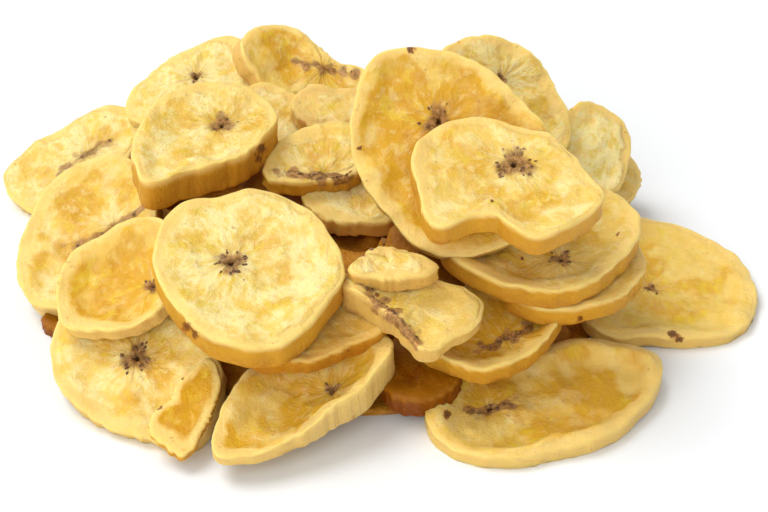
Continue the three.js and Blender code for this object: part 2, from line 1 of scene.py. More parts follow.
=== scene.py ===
# %% [markdown]
# # A loose heap of dried banana slices
#
# The real thing is a handful of thick, crisp slices that were tipped onto a table. This lesson makes each
# slice by itself, as a surface worked out with numpy, and lays the slices in the same order and by the
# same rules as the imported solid, so that the fine slices lie exactly where the plain solid has them.
# Nothing is sculpted by hand: a slice is one function of two parameters, and the heap is a short list of
# slices plus a rule that fills the room under them.

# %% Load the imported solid
import math

import bpy
import numpy as np
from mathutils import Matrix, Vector


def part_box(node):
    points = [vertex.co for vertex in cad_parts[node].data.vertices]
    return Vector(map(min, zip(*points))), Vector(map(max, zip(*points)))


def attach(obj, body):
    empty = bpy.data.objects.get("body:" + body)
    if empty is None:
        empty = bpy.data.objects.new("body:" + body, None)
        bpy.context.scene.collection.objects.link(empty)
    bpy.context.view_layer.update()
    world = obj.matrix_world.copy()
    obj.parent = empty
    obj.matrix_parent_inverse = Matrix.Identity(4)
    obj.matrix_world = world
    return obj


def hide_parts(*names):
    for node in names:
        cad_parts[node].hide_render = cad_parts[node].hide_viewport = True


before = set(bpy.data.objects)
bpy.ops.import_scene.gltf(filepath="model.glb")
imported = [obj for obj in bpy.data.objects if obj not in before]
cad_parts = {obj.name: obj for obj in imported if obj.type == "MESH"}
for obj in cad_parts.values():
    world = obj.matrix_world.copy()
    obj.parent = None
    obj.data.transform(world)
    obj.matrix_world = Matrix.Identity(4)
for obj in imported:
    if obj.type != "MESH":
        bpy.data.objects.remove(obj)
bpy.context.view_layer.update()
NODE = "banana_chip_heap"
MM = 0.001  # metres in a millimetre: slices are worked out in millimetres

# %% [markdown]
# ## Where the eye stands
#
# The heap is seen from 36 degrees above the table through a long lens. A place in the picture is a line of
# sight, and with a height above the table it becomes a point. The slices could be placed by guessed x and
# y, but lines of sight are better: a slice that has to climb onto its neighbours then stays where it is
# seen.

# %% Lines of sight
PICTURE = (768, 512)
ELEVATION = math.radians(36)
DISTANCE = 360.0  # from the eye to the middle of the heap
FOCAL = 85.0
SENSOR = 36.0
AIM = np.array([0.0, 0.0, 20.0])
LENS = FOCAL / SENSOR * PICTURE[0]  # focal length in pixels

# Right, forward and up as the eye has them: forward points down by the elevation.
FORWARD = np.array([0.0, math.cos(ELEVATION), -math.sin(ELEVATION)])
UPWARD = np.array([0.0, math.sin(ELEVATION), math.cos(ELEVATION)])
RIGHT = np.array([1.0, 0.0, 0.0])
EYE = AIM - FORWARD * DISTANCE


def rays(pixels):
    """Directions of sight: forward, plus right and up by how far a pixel is from the picture's middle."""
    pixels = np.asarray(pixels, float)
    across = (pixels[..., 0] - PICTURE[0] / 2) / LENS
    up = (PICTURE[1] / 2 - pixels[..., 1]) / LENS
    return FORWARD + across[..., None] * RIGHT + up[..., None] * UPWARD


def on_sight(pixel, height):
    """The point on a line of sight where it is at this height above the table."""
    ray = rays(pixel)
    return EYE + ray * (height - EYE[2]) / ray[2]


def in_picture(points):
    """Columns and rows of points: how far they are to the right and up, divided by how far away they are."""
    away = points - EYE
    far = away @ FORWARD
    across = away[..., 0] / far
    up = (away @ UPWARD) / far
    return np.stack([PICTURE[0] / 2 + LENS * across, PICTURE[1] / 2 - LENS * up], -1)


print("one millimetre in the middle of the picture is", round(LENS / DISTANCE, 2), "pixels wide")

# %% [markdown]
# ## The slices that show
#
# Each row is one slice that can be picked out from the front. Its rim is a handful of points of the face's
# outline in the picture, joined later by a smooth closed curve. The rest are real sizes in millimetres and
# degrees: the height of its middle, its thickness, how it leans and which way (0 is towards the viewer, 90
# to the right), how far the rim stands above the middle, and for some a bend or a wedge. Pith is where the
# fibres run together, and the seeds are given by their number and how far they spread, from the pith or
# from the band between two ends. Mood is how chalky, how glassy and how tan the slice is: partly its own
# tone and partly painted light and shade, as some slices are set chalkier, and so paler, to stand in for
# more light, and some tanner to stand in for less.
#
# The other values are for some slices only. Hollow is how far the middle sank and roll how high a broad rim
# stands, both in millimetres. Arms is the direction of a thin wall from the pith, in degrees. Marks are
# brown spots: a pixel and a radius in pixels. These go from 0 to 1: pale for a paler side wall, which is
# partly the slice's own tone and partly painted light, faint for the strength of the brown pulp, calm for
# how uneven the slice is, and shade for how much painted shade deepens its colour where it lies in a gap.

# %% Slices from the table up
SHOWN = [
    dict(name="right_oval", z=3.5, thick=3.2, tilt=(6, 60), dish=1.0,
         rim=[(596, 331), (580, 300), (588, 258), (636, 219), (700, 236), (740, 260), (757, 298), (742, 331),
              (700, 340), (650, 337)],
         pith=(652, 287), seeds=(5, 2.0), mood=(0.3, 0.35, 0.45), hollow=0.7, roll=0.3,
         marks=[(672, 338, 4.5), (679, 343, 4)], pale=0.7),
    dict(name="front_right", z=3.5, thick=3.6, tilt=(5, 0), dish=1.2,
         rim=[(424, 413), (446, 376), (530, 349), (610, 342), (658, 356), (663, 374), (634, 418), (560, 451),
              (505, 461), (452, 449)],
         pith=(490, 405), seeds=(9, 1.8), mood=(0.35, 0.45, 0.6), hollow=1.7, roll=1.1,
         band=[(470, 407), (514, 402)], marks=[(447, 418, 4)], pale=0.8),
    # The next two slices are dark mostly by painted shade, set by their shade value.
    dict(name="deep_brown", z=4, thick=5, tilt=(8, 0),
         rim=[(378, 372), (405, 335), (445, 342), (462, 372), (438, 398), (398, 400)],
         pith=(420, 366), seeds=(0, 3.0), mood=(0.1, 0.4, 0.6), shade=0.9),
    dict(name="left_dark", z=3, thick=3.5, tilt=(5, 0),
         rim=[(42, 320), (60, 308), (90, 314), (96, 330), (76, 341), (52, 331)],
         pith=(70, 320), seeds=(0, 3.0), mood=(0.1, 0.3, 0.8), shade=0.9),
    dict(name="left_large", z=13, thick=5.5, tilt=(26, -25), dish=1.5,
         rim=[(17, 275), (28, 222), (62, 174), (118, 155), (152, 185), (155, 235), (120, 285), (62, 311),
              (30, 303)],
         pith=(112, 226), seeds=(5, 1.6), mood=(0.65, 0.45, 0.15), hollow=0.7, band=[(70, 248), (158, 206)],
         pale=0.9, faint=0.6),
    dict(name="front_left", z=11.5, thick=4.6, tilt=(27, -20),
         rim=[(50, 366), (62, 314), (112, 286), (170, 298), (206, 335), (223, 372), (216, 410), (186, 452),
              (145, 440), (85, 416)],
         pith=(137, 362), seeds=(32, 3.8), mood=(0.75, 0.35, 0.4), pale=0.7),
    dict(name="front_bowl", z=9, thick=5.4, tilt=(14, -12), dish=2.6, wedge=(0.55, 20),
         rim=[(214, 454), (218, 412), (240, 376), (310, 346), (375, 336), (395, 348), (376, 381), (335, 412),
              (290, 439), (245, 455)],
         pith=(332, 386), seeds=(6, 1.8), mood=(0.5, 0.65, 0.3), hollow=1.0, roll=0.4, pale=0.8),
    dict(name="front_flap", z=10, thick=2.2, tilt=(23, 5),
         rim=[(148, 427), (170, 400), (191, 371), (209, 358), (220, 374), (215, 404), (202, 432), (184, 457),
              (164, 447)],
         pith=(137, 362), seeds=(0, 3.0), mood=(0.1, 1.0, 0.1), hollow=0.2, calm=0.3,
         marks=[(160, 411, 3), (171, 396, 2.6), (182, 382, 2.4)]),
    dict(name="stack_lower", z=11.5, thick=4.8, tilt=(10, 0), dish=1.8,
         rim=[(420, 343), (445, 361), (482, 371), (522, 358), (552, 334), (562, 308), (530, 286), (480, 282),
              (435, 305)],
         pith=(505, 336), seeds=(20, 1.5), mood=(0.4, 0.75, 0.15), hollow=1.1, band=[(484, 344), (530, 327)]),
    dict(name="under_round", z=17, thick=4.5, tilt=(16, 12), dish=1.0,
         rim=[(240, 335), (258, 290), (320, 268), (375, 290), (387, 326), (350, 346), (295, 362), (255, 360)],
         pith=(318, 312), seeds=(4, 3.0), mood=(0.6, 0.4, 0.3), shade=0.25),
    dict(name="back_left", z=9, thick=4.6, tilt=(26, -25),
         rim=[(4, 178), (24, 153), (65, 127), (120, 106), (146, 116), (132, 156), (95, 192), (50, 216),
              (20, 207)],
         pith=(88, 158), seeds=(3, 1.4), mood=(0.85, 0.3, 0.1), band=[(62, 174), (112, 143)],
         pale=0.9, faint=0.55),
    dict(name="right_back_b", z=10, thick=5, tilt=(25, 60),
         rim=[(584, 178), (606, 150), (630, 158), (638, 190), (630, 202), (604, 204)],
         pith=(570, 180), seeds=(0, 3.0), mood=(0.7, 0.2, 0.5), pale=0.8),
    dict(name="right_back_a", z=16, thick=5, tilt=(34, 35),
         rim=[(560, 150), (566, 114), (584, 103), (606, 110), (627, 132), (627, 165), (612, 194), (582, 196),
              (564, 176)],
         pith=(540, 150), seeds=(0, 3.0), mood=(1.0, 0.1, 0.35), pale=1),
    dict(name="left_curled", z=19, thick=4.4, tilt=(28, -30), dish=2.6,
         rim=[(57, 305), (68, 258), (104, 234), (150, 216), (182, 236), (184, 282), (150, 318), (95, 332),
              (62, 325)],
         pith=(149, 284), seeds=(12, 2.2), mood=(0.35, 0.7, 0.2), hollow=1.2, pale=0.8),
    dict(name="stack_middle", z=18, thick=4.6, tilt=(6, 10),
         rim=[(508, 296), (545, 311), (585, 309), (630, 290), (646, 262), (622, 234), (575, 226), (530, 242)],
         pith=(578, 262), seeds=(5, 4.0), mood=(0.3, 0.4, 0.5), marks=[(580, 322, 2.6)]),
    dict(name="curled_half", z=20, thick=5, tilt=(14, 12), dish=1.0, wedge=(0.4, 170),
         rim=[(342, 290), (351, 281), (384, 276), (430, 279), (466, 288), (482, 301), (478, 322), (452, 338),
              (424, 351), (411, 338), (394, 321), (368, 304)],
         pith=(392, 318), seeds=(20, 1.5), mood=(0.5, 0.3, 0.4), band=[(364, 292), (418, 344)],
         marks=[(377, 299, 2.5)], pale=0.6),
    dict(name="back_pale", z=19, thick=4.6, tilt=(24, -20),
         rim=[(126, 112), (150, 75), (190, 50), (235, 38), (258, 62), (252, 96), (190, 122), (145, 126)],
         pith=(196, 80), seeds=(4, 1.8), mood=(0.95, 0.1, 0.1), pale=1),
    dict(name="half_lower", z=22, thick=4.4, tilt=(14, 5),
         rim=[(302, 192), (320, 172), (362, 168), (390, 190), (393, 219), (360, 226), (325, 220)],
         pith=(345, 160), seeds=(0, 3.0), mood=(0.95, 0.4, 0.1), pale=0.5),
    dict(name="back_curl", z=27, thick=4.6, tilt=(30, 12), bend=(50, 8),
         rim=[(233, 62), (240, 40), (285, 26), (316, 44), (342, 66), (374, 80), (368, 96), (310, 94),
              (250, 84)],
         pith=(325, 74), seeds=(3, 1.6), mood=(0.5, 0.65, 0.25), band=[(298, 66), (364, 85)], pale=0.6,
         faint=0.7),
    dict(name="mid_pale", z=25, thick=4.4, tilt=(22, 0),
         rim=[(238, 108), (256, 84), (292, 92), (328, 122), (320, 142), (285, 150), (250, 136)],
         pith=(340, 180), seeds=(0, 3.0), mood=(0.9, 0.2, 0.2), pale=1),
    dict(name="mid_beige", z=27, thick=4.2, tilt=(20, 10),
         rim=[(290, 106), (300, 90), (336, 88), (372, 98), (376, 118), (350, 132), (306, 126)],
         pith=(420, 96), seeds=(0, 3.0), mood=(0.7, 0.1, 0.8), pale=0.8),
    dict(name="half_upper", z=27, thick=4.6, tilt=(18, 5),
         rim=[(266, 180), (275, 148), (310, 127), (360, 128), (376, 150), (360, 172), (320, 183), (288, 185)],
         pith=(322, 178), seeds=(22, 2.2), mood=(0.75, 0.45, 0.1), band=[(284, 178), (364, 186)]),
    dict(name="small_torn", z=24, thick=4, tilt=(12, 0),
         rim=[(350, 272), (362, 258), (386, 247), (415, 255), (437, 267), (405, 279), (375, 278)],
         pith=(360, 256), seeds=(5, 1.6), mood=(0.8, 0.2, 0.4), pale=0.5),
    dict(name="stack_upper", z=25, thick=5.2, tilt=(9, 5), dish=2.0,
         rim=[(440, 248), (470, 272), (520, 290), (575, 290), (620, 263), (642, 226), (622, 198), (560, 180),
              (500, 184), (455, 212)],
         pith=(562, 256), seeds=(9, 2.6), mood=(0.6, 0.5, 0.2), hollow=1.3, roll=0.4,
         marks=[(522, 262, 2), (617, 238, 1.8)]),
    dict(name="front_round", z=28, thick=7, tilt=(17, 5), dish=1.2,
         rim=[(152, 265), (157, 235), (168, 214), (186, 203), (222, 197), (258, 190), (282, 197), (305, 207),
              (328, 232), (342, 256), (346, 276), (336, 296), (320, 315), (300, 337), (280, 349), (250, 351),
              (215, 343), (190, 326), (168, 300)],
         pith=(231, 265), seeds=(34, 3.3), mood=(0.9, 0.3, 0.15), arms=90,
         marks=[(187, 331, 4.5), (195, 338, 4)]),
    dict(name="top_left", z=32, thick=8, tilt=(10, 15), dish=1.2,
         rim=[(134, 165), (142, 125), (165, 98), (210, 84), (255, 94), (278, 120), (262, 143), (222, 166),
              (180, 176), (148, 186)],
         pith=(222, 124), seeds=(6, 3.4), mood=(0.8, 0.45, 0.1), hollow=0.8,
         marks=[(262, 152, 5), (259, 162, 4)]),
    dict(name="top_behind", z=32, thick=4.8, tilt=(42, 15), dish=1.5,
         rim=[(430, 66), (458, 40), (495, 36), (532, 54), (556, 90), (568, 115), (566, 150), (515, 160),
              (460, 130)],
         pith=(502, 82), seeds=(4, 1.6), mood=(0.95, 0.3, 0.05), pale=0.9),
    dict(name="top_big", z=35, thick=5.2, tilt=(47, -5), dish=1.5,
         rim=[(353, 140), (358, 100), (378, 58), (425, 51), (480, 67), (522, 104), (556, 150), (556, 200),
              (500, 244), (430, 251), (390, 214)],
         pith=(438, 124), seeds=(12, 4.0), mood=(0.5, 0.8, 0.3), hollow=1.0,
         marks=[(410, 53, 4), (359, 152, 3.5)], pale=0.5),
    dict(name="top_square", z=37, thick=5.2, tilt=(12, 5), dish=1.0,
         rim=[(413, 160), (421, 143), (441, 127), (476, 120), (512, 128), (546, 136), (567, 152), (586, 176),
              (603, 199), (589, 214), (565, 228), (540, 238), (516, 232), (497, 217), (470, 217), (447, 228),
              (431, 223), (423, 206), (417, 182)],
         pith=(514, 166), seeds=(34, 4.6), mood=(0.65, 0.4, 0.45), marks=[(492, 205, 1.6)]),
]
print(len(SHOWN), "slices are set by eye")

# %% [markdown]
# ## The shape of one slice
#
# A slice is described in polar form: a share rho of the radius, from 0 in the middle to 1 at the rim, and
# a direction theta. The face and the underside are two sheets that run parallel and close quickly at the
# rim. A slice could be a squashed cylinder with its edge bevelled, but the polar form gives the uneven
# outline, the dish and the bend in one formula, and the laying rules can ask it for points.

# %% Outline, bend and points of a slice
RIM_POWER = 12  # how square the rim is
RIM_LIFT = 0.35  # the rim that is seen lies this share of the thickness above the middle
REACH = 45.0  # the bent middle line is worked out this far either way
FINE = 0.5
ALONG = np.arange(-REACH, REACH + FINE / 2, FINE)
DEGREES = np.arange(360)


def draw(n, k):
    """A repeatable random draw between 0 and 1: the digits far behind the point of a sine."""
    s = math.sin(n * 12.9898 + k * 78.233) * 43758.5453
    return s - math.floor(s)


def smooth(x):
    """0 below 0, 1 above 1, and an even s-curve between."""
    q = np.clip(x, 0, 1)
    return q * q * (3 - 2 * q)


def turns(count):
    """Directions all around, evenly spread, in radians."""
    return np.arange(count) * 2 * math.pi / count


def axes_of(tilt):
    """The rows are a slice's own level axis, the axis up its slope and the one out of its face."""
    lean, toward, turn = (math.radians(v) for v in (*tilt, 0)[:3])
    out = np.array([math.sin(lean) * math.sin(toward), -math.sin(lean) * math.cos(toward), math.cos(lean)])
    level = RIGHT - out * out[0]
    level /= np.linalg.norm(level)
    along = level * math.cos(turn) + np.cross(out, level) * math.sin(turn)
    return np.stack([along, np.cross(out, along), out])


def rim_lift(s):
    """How far the rim that is seen stands above the slice's middle."""
    return s["thick"] * RIM_LIFT + s.get("dish", 0)


def place_on_sight(s, height):
    """The middle of a slice at this height, with its rim above it on the line of sight."""
    out = s["axes"][2]
    return on_sight(np.mean(s["rim"], 0), height + rim_lift(s) * out[2]) - out * rim_lift(s)


def on_face(s, middle, pixels):
    """Each pixel's line of sight meets the plane through the rim: the place on the slice's own axes."""
    out = s["axes"][2]
    top = middle + out * rim_lift(s)
    sight = rays(pixels)
    hit = EYE + sight * (((top - EYE) @ out) / (sight @ out))[..., None] - top
    return np.stack([hit @ s["axes"][0], hit @ s["axes"][1]], -1)


def smooth_through(angles, radii):
    """Radius for each whole degree: cubic pieces whose slope at a knot is that between its neighbours."""
    angle = np.concatenate([angles[-3:] - 360, angles, angles[:3] + 360])
    radius = np.concatenate([radii[-3:], radii, radii[:3]])
    slope = np.zeros_like(angle)
    slope[1:-1] = (radius[2:] - radius[:-2]) / (angle[2:] - angle[:-2])
    i = np.searchsorted(angle, DEGREES, side="right") - 1
    span = angle[i + 1] - angle[i]
    t = (DEGREES - angle[i]) / span
    ends = radius[i] * (1 + 2 * t) * (1 - t) ** 2 + radius[i + 1] * t * t * (3 - 2 * t)
    return ends + span * (slope[i] * t * (1 - t) ** 2 - slope[i + 1] * t * t * (1 - t))


def radii_from_rim(s):
    """The rim's points on the slice's own plane, in polar form, joined by a smooth closed curve."""
    flat = on_face(s, place_on_sight(s, s["z"]), np.array(s["rim"], float))
    angles = np.degrees(np.arctan2(flat[:, 1], flat[:, 0])) % 360
    order = np.argsort(angles)
    return smooth_through(angles[order], np.hypot(flat[:, 0], flat[:, 1])[order])


def radii_of_oval(s):
    """An oval, length by width, with two kinds of lobe added."""
    theta = np.radians(DEGREES)
    oval = s["length"] * s["width"] / np.hypot(s["width"] * np.cos(theta), s["length"] * np.sin(theta))
    radius = oval.copy()
    for waves, size, start in s["lobes"]:
        radius += oval * size * np.cos(waves * (theta - math.radians(start)))
    return radius


def bent_line(s):
    """The middle line: its slope grows evenly, and its place is the running sum of the slope's cosine and
    sine."""
    even = math.radians(s["bend"][0]) / (s["radii"][0] + s["radii"][180]) if "bend" in s else 0
    slope = even * ALONG
    x = np.concatenate([[0], np.cumsum((np.cos(slope[1:]) + np.cos(slope[:-1])) / 2 * FINE)])
    z = np.concatenate([[0], np.cumsum((np.sin(slope[1:]) + np.sin(slope[:-1])) / 2 * FINE)])
    middle = len(ALONG) // 2
    return slope, x - x[middle], z - z[middle]


def ready(s):
    """Works out a slice's axes, its radius for each degree and its middle line, and keeps them with it."""
    s["axes"] = axes_of(s["tilt"])
    s["radii"] = radii_from_rim(s) if "rim" in s else radii_of_oval(s)
    s["line"] = bent_line(s)
    return s


def radius_at(s, theta):
    """The radius in any direction, read between whole degrees."""
    ring = np.append(s["radii"], s["radii"][0])
    return np.interp(np.degrees(theta) % 360, np.arange(361), ring)


def points_at(s, q, theta, t, raised=0.0, outward=0.0):
    """Points by share q of the radius, direction and share t of half the thickness, 1 being the face. The
    dish lifts them with q^2, the wedge thickens one side, the bent line carries them along, and the axes
    lean them. Raised and outward add relief."""
    radius = q * radius_at(s, theta) + outward
    a = radius * np.cos(theta)
    b = radius * np.sin(theta)
    more, way = s.get("wedge", (0, 0))
    thick = s["thick"] * (1 + more * q * np.cos(theta - math.radians(way)))
    high = t * thick / 2 + s.get("dish", 0) * q * q + raised
    axis = math.radians(s.get("bend", (0, 0))[1])
    along = a * math.cos(axis) + b * math.sin(axis)
    across = -a * math.sin(axis) + b * math.cos(axis)
    slope, line_x, line_z = (np.interp(along, ALONG, line) for line in s["line"])
    x = line_x - high * np.sin(slope)
    z = line_z + high * np.cos(slope)
    level = x * math.cos(axis) - across * math.sin(axis)
    upward = x * math.sin(axis) + across * math.cos(axis)
    return np.stack([level, upward, z], -1) @ s["axes"]


def points_of(s, rho, theta, side):
    """Points of the plain slice: side 1 is the face and -1 the underside. Half the thickness goes with the
    root of 1 - rho^12, so both sheets meet at rho = 1."""
    return points_at(s, rho, theta, side * np.sqrt(np.maximum(0, 1 - rho ** RIM_POWER)))


def sheet(s, side, rings, spokes):
    """Points spread over the face or the underside."""
    rho = np.linspace(0, 1, rings)[:, None]
    rho, theta = np.broadcast_arrays(rho, turns(spokes)[None, :])
    return points_of(s, rho, theta, side).reshape(-1, 3)


print("a radius for each of", len(DEGREES), "degrees, and a bent line of", len(ALONG), "places")

# %% [markdown]
# ## Maps of heights
#
# To lay one slice on others, the heap so far is kept as a map of heights over the table. A slice rests
# where its underside, looked up point by point on the map, first touches. Physics could drop the slices
# instead, but then none would end up where it is seen. A map also works the other way round: the lowest
# undersides of the slices that show are the roof of the room that hidden slices may fill.

# %% Height maps
STEP = 1.5  # millimetres from one cell to the next
X0, Y0 = -100.0, -75.0
NX, NY = 134, 134


class HeightMap:
    """Heights over the table in square cells."""

    def __init__(self, value):
        self.z = np.full((NY, NX), float(value))

    def mark(self, points, pick):
        """Keeps, in the cell under each point, the value that pick chooses: the larger or the smaller."""
        i = np.floor((points[:, 0] - X0) / STEP + 0.5).astype(int)
        j = np.floor((points[:, 1] - Y0) / STEP + 0.5).astype(int)
        inside = (i >= 0) & (i < NX) & (j >= 0) & (j < NY)
        pick.at(self.z, (j[inside], i[inside]), points[inside, 2])

    def height(self, x, y):
        """The height over a place, read between four cells."""
        column = np.clip((x - X0) / STEP, 0, NX - 1.001)
        row = np.clip((y - Y0) / STEP, 0, NY - 1.001)
        i = np.floor(column).astype(int)
        j = np.floor(row).astype(int)
        across = column - i
        up = row - j
        near = self.z[j, i] * (1 - across) + self.z[j, i + 1] * across
        far = self.z[j + 1, i] * (1 - across) + self.z[j + 1, i + 1] * across
        return near * (1 - up) + far * up

    def rest(self, under, x, y):
        """The height at which a slice with this underside comes to rest."""
        return float(np.max(self.height(under[:, 0] + x, under[:, 1] + y) - under[:, 2]))


print("a map of", NX, "by", NY, "cells reaches from", (X0, Y0), "to", (X0 + NX * STEP, Y0 + NY * STEP))

# %% [markdown]
# ## Laying the slices that show
#
# From the table up, each slice slides along its own line of sight: up when it would cut into what lies
# under it, down when it would float. It ends a little sunk into its neighbours, as sticky slices do. The
# few that find nothing near enough stay at the height set for them, and are propped up later.

# %% Laying by line of sight
SINK = 0.9  # how far a slice presses into what it rests on
RISE = 14.0  # how far a slice may climb from the height set for it, and how far it may come down
FALL = 5.0
STEP_ALONG = 0.5
HALVINGS = 16  # how often the last step is halved to find the place of rest
SHEET = (22, 80)  # rings and spokes of the points that are looked at


def lay(ground, s):
    """The face of a slice that has its place becomes part of the ground for the next ones."""
    ground.mark(sheet(s, 1, *SHEET) + s["place"], np.maximum)


def set_on_sight(pile, s):
    """Walks the height up or down in steps until the slice touches, then halves the last step."""
    under = sheet(s, -1, *SHEET)

    def room(height):
        at = place_on_sight(s, height)
        return height - pile.rest(under, at[0], at[1])

    low = high = s["z"]
    while room(high) < 0 and high < s["z"] + RISE:
        low = high
        high += STEP_ALONG
    while room(low) > 0 and low > s["z"] - FALL:
        high = low
        low -= STEP_ALONG
    s["hangs"] = room(low) > 0
    for _ in range(HALVINGS):
        middle = (low + high) / 2
        if room(middle) > 0:
            high = middle
        else:
            low = middle
    s["place"] = place_on_sight(s, s["z"] if s["hangs"] else high)
    s["place"][2] -= SINK
    lay(pile, s)


pile = HeightMap(0)
shown = [ready(dict(row)) for row in SHOWN]
for s in shown:
    set_on_sight(pile, s)
print("hanging until propped up:", [s["name"] for s in shown if s["hangs"]])

# %% [markdown]
# ## Filling the room underneath
#
# Under the slices that show, and on the far side of the heap, more slices lie in the dark. They are
# dropped pass after pass on a shifted grid, lean as what lies under them does, and are kept only where
# they stay below the roof and inside the outline that is seen from the front. A heap of real slices could
# be simulated instead, but the rule is quick, and it repeats itself exactly.

# %% Room and outline
MOUND = dict(x=-5.0, y=24.0, rx=72.0, ry=66.0, h=42.0)  # the whole heap as a dome
FRONT_LINE, FRONT_END, FRONT_HEIGHT = 6.0, -30.0, 20.0  # nearer the viewer the hidden slices stay low
LOW = 12.0  # points lower than this have to lie behind a slice that shows
CELL = 8  # columns and rows of the picture that are looked at together
BEHIND = 3.0  # a hidden piece is at least this much further from the eye than what hides it
NO_ROW = 999  # where nothing is covered
DENSE = (30, 110)


def mound_share(x, y):
    """How far a place is from the middle of the mound: 0 there, 1 at its foot."""
    return np.hypot((x - MOUND["x"]) / MOUND["rx"], (y - MOUND["y"]) / MOUND["ry"])


def room_map(slices):
    """Under the slices that show their underside is the roof, and elsewhere the dome of the heap is."""
    roof = HeightMap(np.inf)
    for s in slices:
        roof.mark(sheet(s, -1, *DENSE) + s["place"], np.minimum)
    x, y = np.meshgrid(X0 + np.arange(NX) * STEP, Y0 + np.arange(NY) * STEP)
    dome = MOUND["h"] * np.sqrt(np.clip(1 - mound_share(x, y) ** 2, 0, 1))
    front = np.where(y > FRONT_END, np.minimum(FRONT_HEIGHT, dome), 0)
    roof.z = np.where(np.isinf(roof.z), np.where(y > FRONT_LINE, dome, front), roof.z)
    return roof


def cells(points):
    """Columns and rows of the picture, counted in cells."""
    return np.floor(in_picture(points) / CELL).astype(int)


class Outline:
    """Which cells of the picture the slices that show cover, how near to the eye they come in each, and the
    top and bottom one of each column."""

    def __init__(self, slices):
        points = [sheet(s, side, *DENSE) + s["place"] for s in slices for side in (1, -1)]
        found = cells(np.concatenate(points))
        self.covered = np.zeros((PICTURE[1] // CELL + 1, PICTURE[0] // CELL + 1), bool)
        self.covered[found[:, 1], found[:, 0]] = True
        self.nearest = np.full(self.covered.shape, np.inf)
        far = (np.concatenate(points) - EYE) @ FORWARD
        np.minimum.at(self.nearest, (found[:, 1], found[:, 0]), far)
        rows = np.arange(len(self.covered))[:, None]
        self.top = np.where(self.covered, rows, NO_ROW).min(0)
        self.bottom = np.where(self.covered, rows, -NO_ROW).max(0)

    def cells_of(self, points):
        """The column and row of the cell that each point is seen in, or of the nearest cell there is."""
        i, j = cells(points).T
        return np.clip(i, 0, self.covered.shape[1] - 1), np.clip(j, 0, self.covered.shape[0] - 1)

    def hides(self, points):
        """Whether points stay inside the outline and, when they are low, behind a slice that shows."""
        i, j = self.cells_of(points)
        inside = (j > self.top[i]) & (j < self.bottom[i])
        return inside & ((points[:, 2] > LOW) | self.covered[j, i])

    def in_front(self, points):
        """The share of points that nothing hides from the eye."""
        i, j = self.cells_of(points)
        return np.mean((points - EYE) @ FORWARD < self.nearest[j, i] + BEHIND)


roof = room_map(shown)
outline = Outline(shown)
print("the slices that show cover", int(outline.covered.sum()), "cells of the picture")

# %% Dropping the hidden slices
PASSES, WHOLE = 26, 12  # how many passes there are, and how many of them drop whole slices
PITCH, ROW, GRID_REACH = 27.0, 0.87, 4  # the grid: millimetres, a row's share of them, and rows each way
WANDER = 4  # millimetres over which a slice strays from its place on the grid
CLEAR = 0.93  # the share of the face that has to be below the roof
SLACK = 0.5  # a point this far above the roof still counts as below it
HIDDEN_SEEN = 0.02  # the share of a hidden slice or broken piece that may show from the front
RIM_POINTS, DROP_RINGS = 36, 10
STEEPEST = 34  # degrees; no dropped slice leans more
LEAN_POINTS, LEAN_AT = 12, [0.55, 0.95]  # points of either ring, and its radius as a share of the slice's
BROKEN_SIZE = 0.68  # a broken slice's radius, as a share of a whole one's


def hidden_slice(n, broken):
    """An oval slice whose sizes are drawn, a broken one being smaller."""
    radius = (11.5 + 4.5 * draw(n, 12)) * (BROKEN_SIZE if broken else 1)
    return dict(name=f"hidden_{n}", number=n, length=radius, width=radius * (0.8 + 0.2 * draw(n, 13)),
                thick=4.5 + 1.2 * draw(n, 14), tilt=[0, 0, 360 * draw(n, 17)],
                lobes=[(2, 0.06 * draw(n, 9), 90), (3, 0.05 * draw(n, 10), 40)])


def settle(ground, s, x, y):
    """Leans a slice like the plane that best fits what lies under it."""
    theta = np.tile(turns(LEAN_POINTS), len(LEAN_AT))
    reach = np.repeat(LEAN_AT, LEAN_POINTS) * s["length"]
    dx = reach * np.cos(theta)
    dy = reach * np.sin(theta)
    height = ground.height(x + dx, y + dy)
    slope_x = float((dx * height).sum() / (dx * dx).sum())
    slope_y = float((dy * height).sum() / (dx * dx).sum())
    s["tilt"][0] = min(STEEPEST, math.degrees(math.atan(math.hypot(slope_x, slope_y))))
    s["tilt"][1] = math.degrees(math.atan2(-slope_x, slope_y))


def drop(ground, ceiling, s, x, y, rings, clear):
    """Lets a slice come to rest at x and y. Gives its place, the points of its face, and whether more than
    the share clear of them is below the ceiling."""
    settle(ground, s, x, y)
    ready(s)
    at = np.array([x, y, ground.rest(sheet(s, -1, rings, RIM_POINTS), x, y)])
    over = sheet(s, 1, rings, RIM_POINTS) + at
    below = over[:, 2] < ceiling.height(over[:, 0], over[:, 1]) + SLACK
    return at, over, below.sum() > clear * len(over)


def drop_hidden(roof, outline):
    """Tries one slice for each place of the grid in each pass, and keeps those that fit and stay unseen."""
    low_pile = HeightMap(0)
    kept = []
    n = 0
    for step in range(PASSES):
        for j in range(-GRID_REACH, GRID_REACH + 1):
            for i in range(-GRID_REACH, GRID_REACH + 1):
                n += 1
                x = MOUND["x"] + PITCH * (i + (j % 2) / 2 + draw(step, 3) - 0.5)
                y = MOUND["y"] + PITCH * ROW * (j + draw(step, 4) - 0.5)
                x += WANDER * (draw(n, 1) - 0.5)
                y += WANDER * (draw(n, 2) - 0.5)
                if mound_share(x, y) > 1 or y <= FRONT_END:
                    continue
                s = hidden_slice(n, step >= WHOLE)
                at, over, fits = drop(low_pile, roof, s, x, y, DROP_RINGS, CLEAR)
                hides = fits and outline.hides(over[-RIM_POINTS:]).all()
                if hides and outline.in_front(over) < HIDDEN_SEEN:
                    s["place"] = at - [0, 0, SINK]
                    lay(low_pile, s)
                    kept.append(s)
    return kept, low_pile


hidden, low_pile = drop_hidden(roof, outline)
print(len(hidden), "hidden slices")

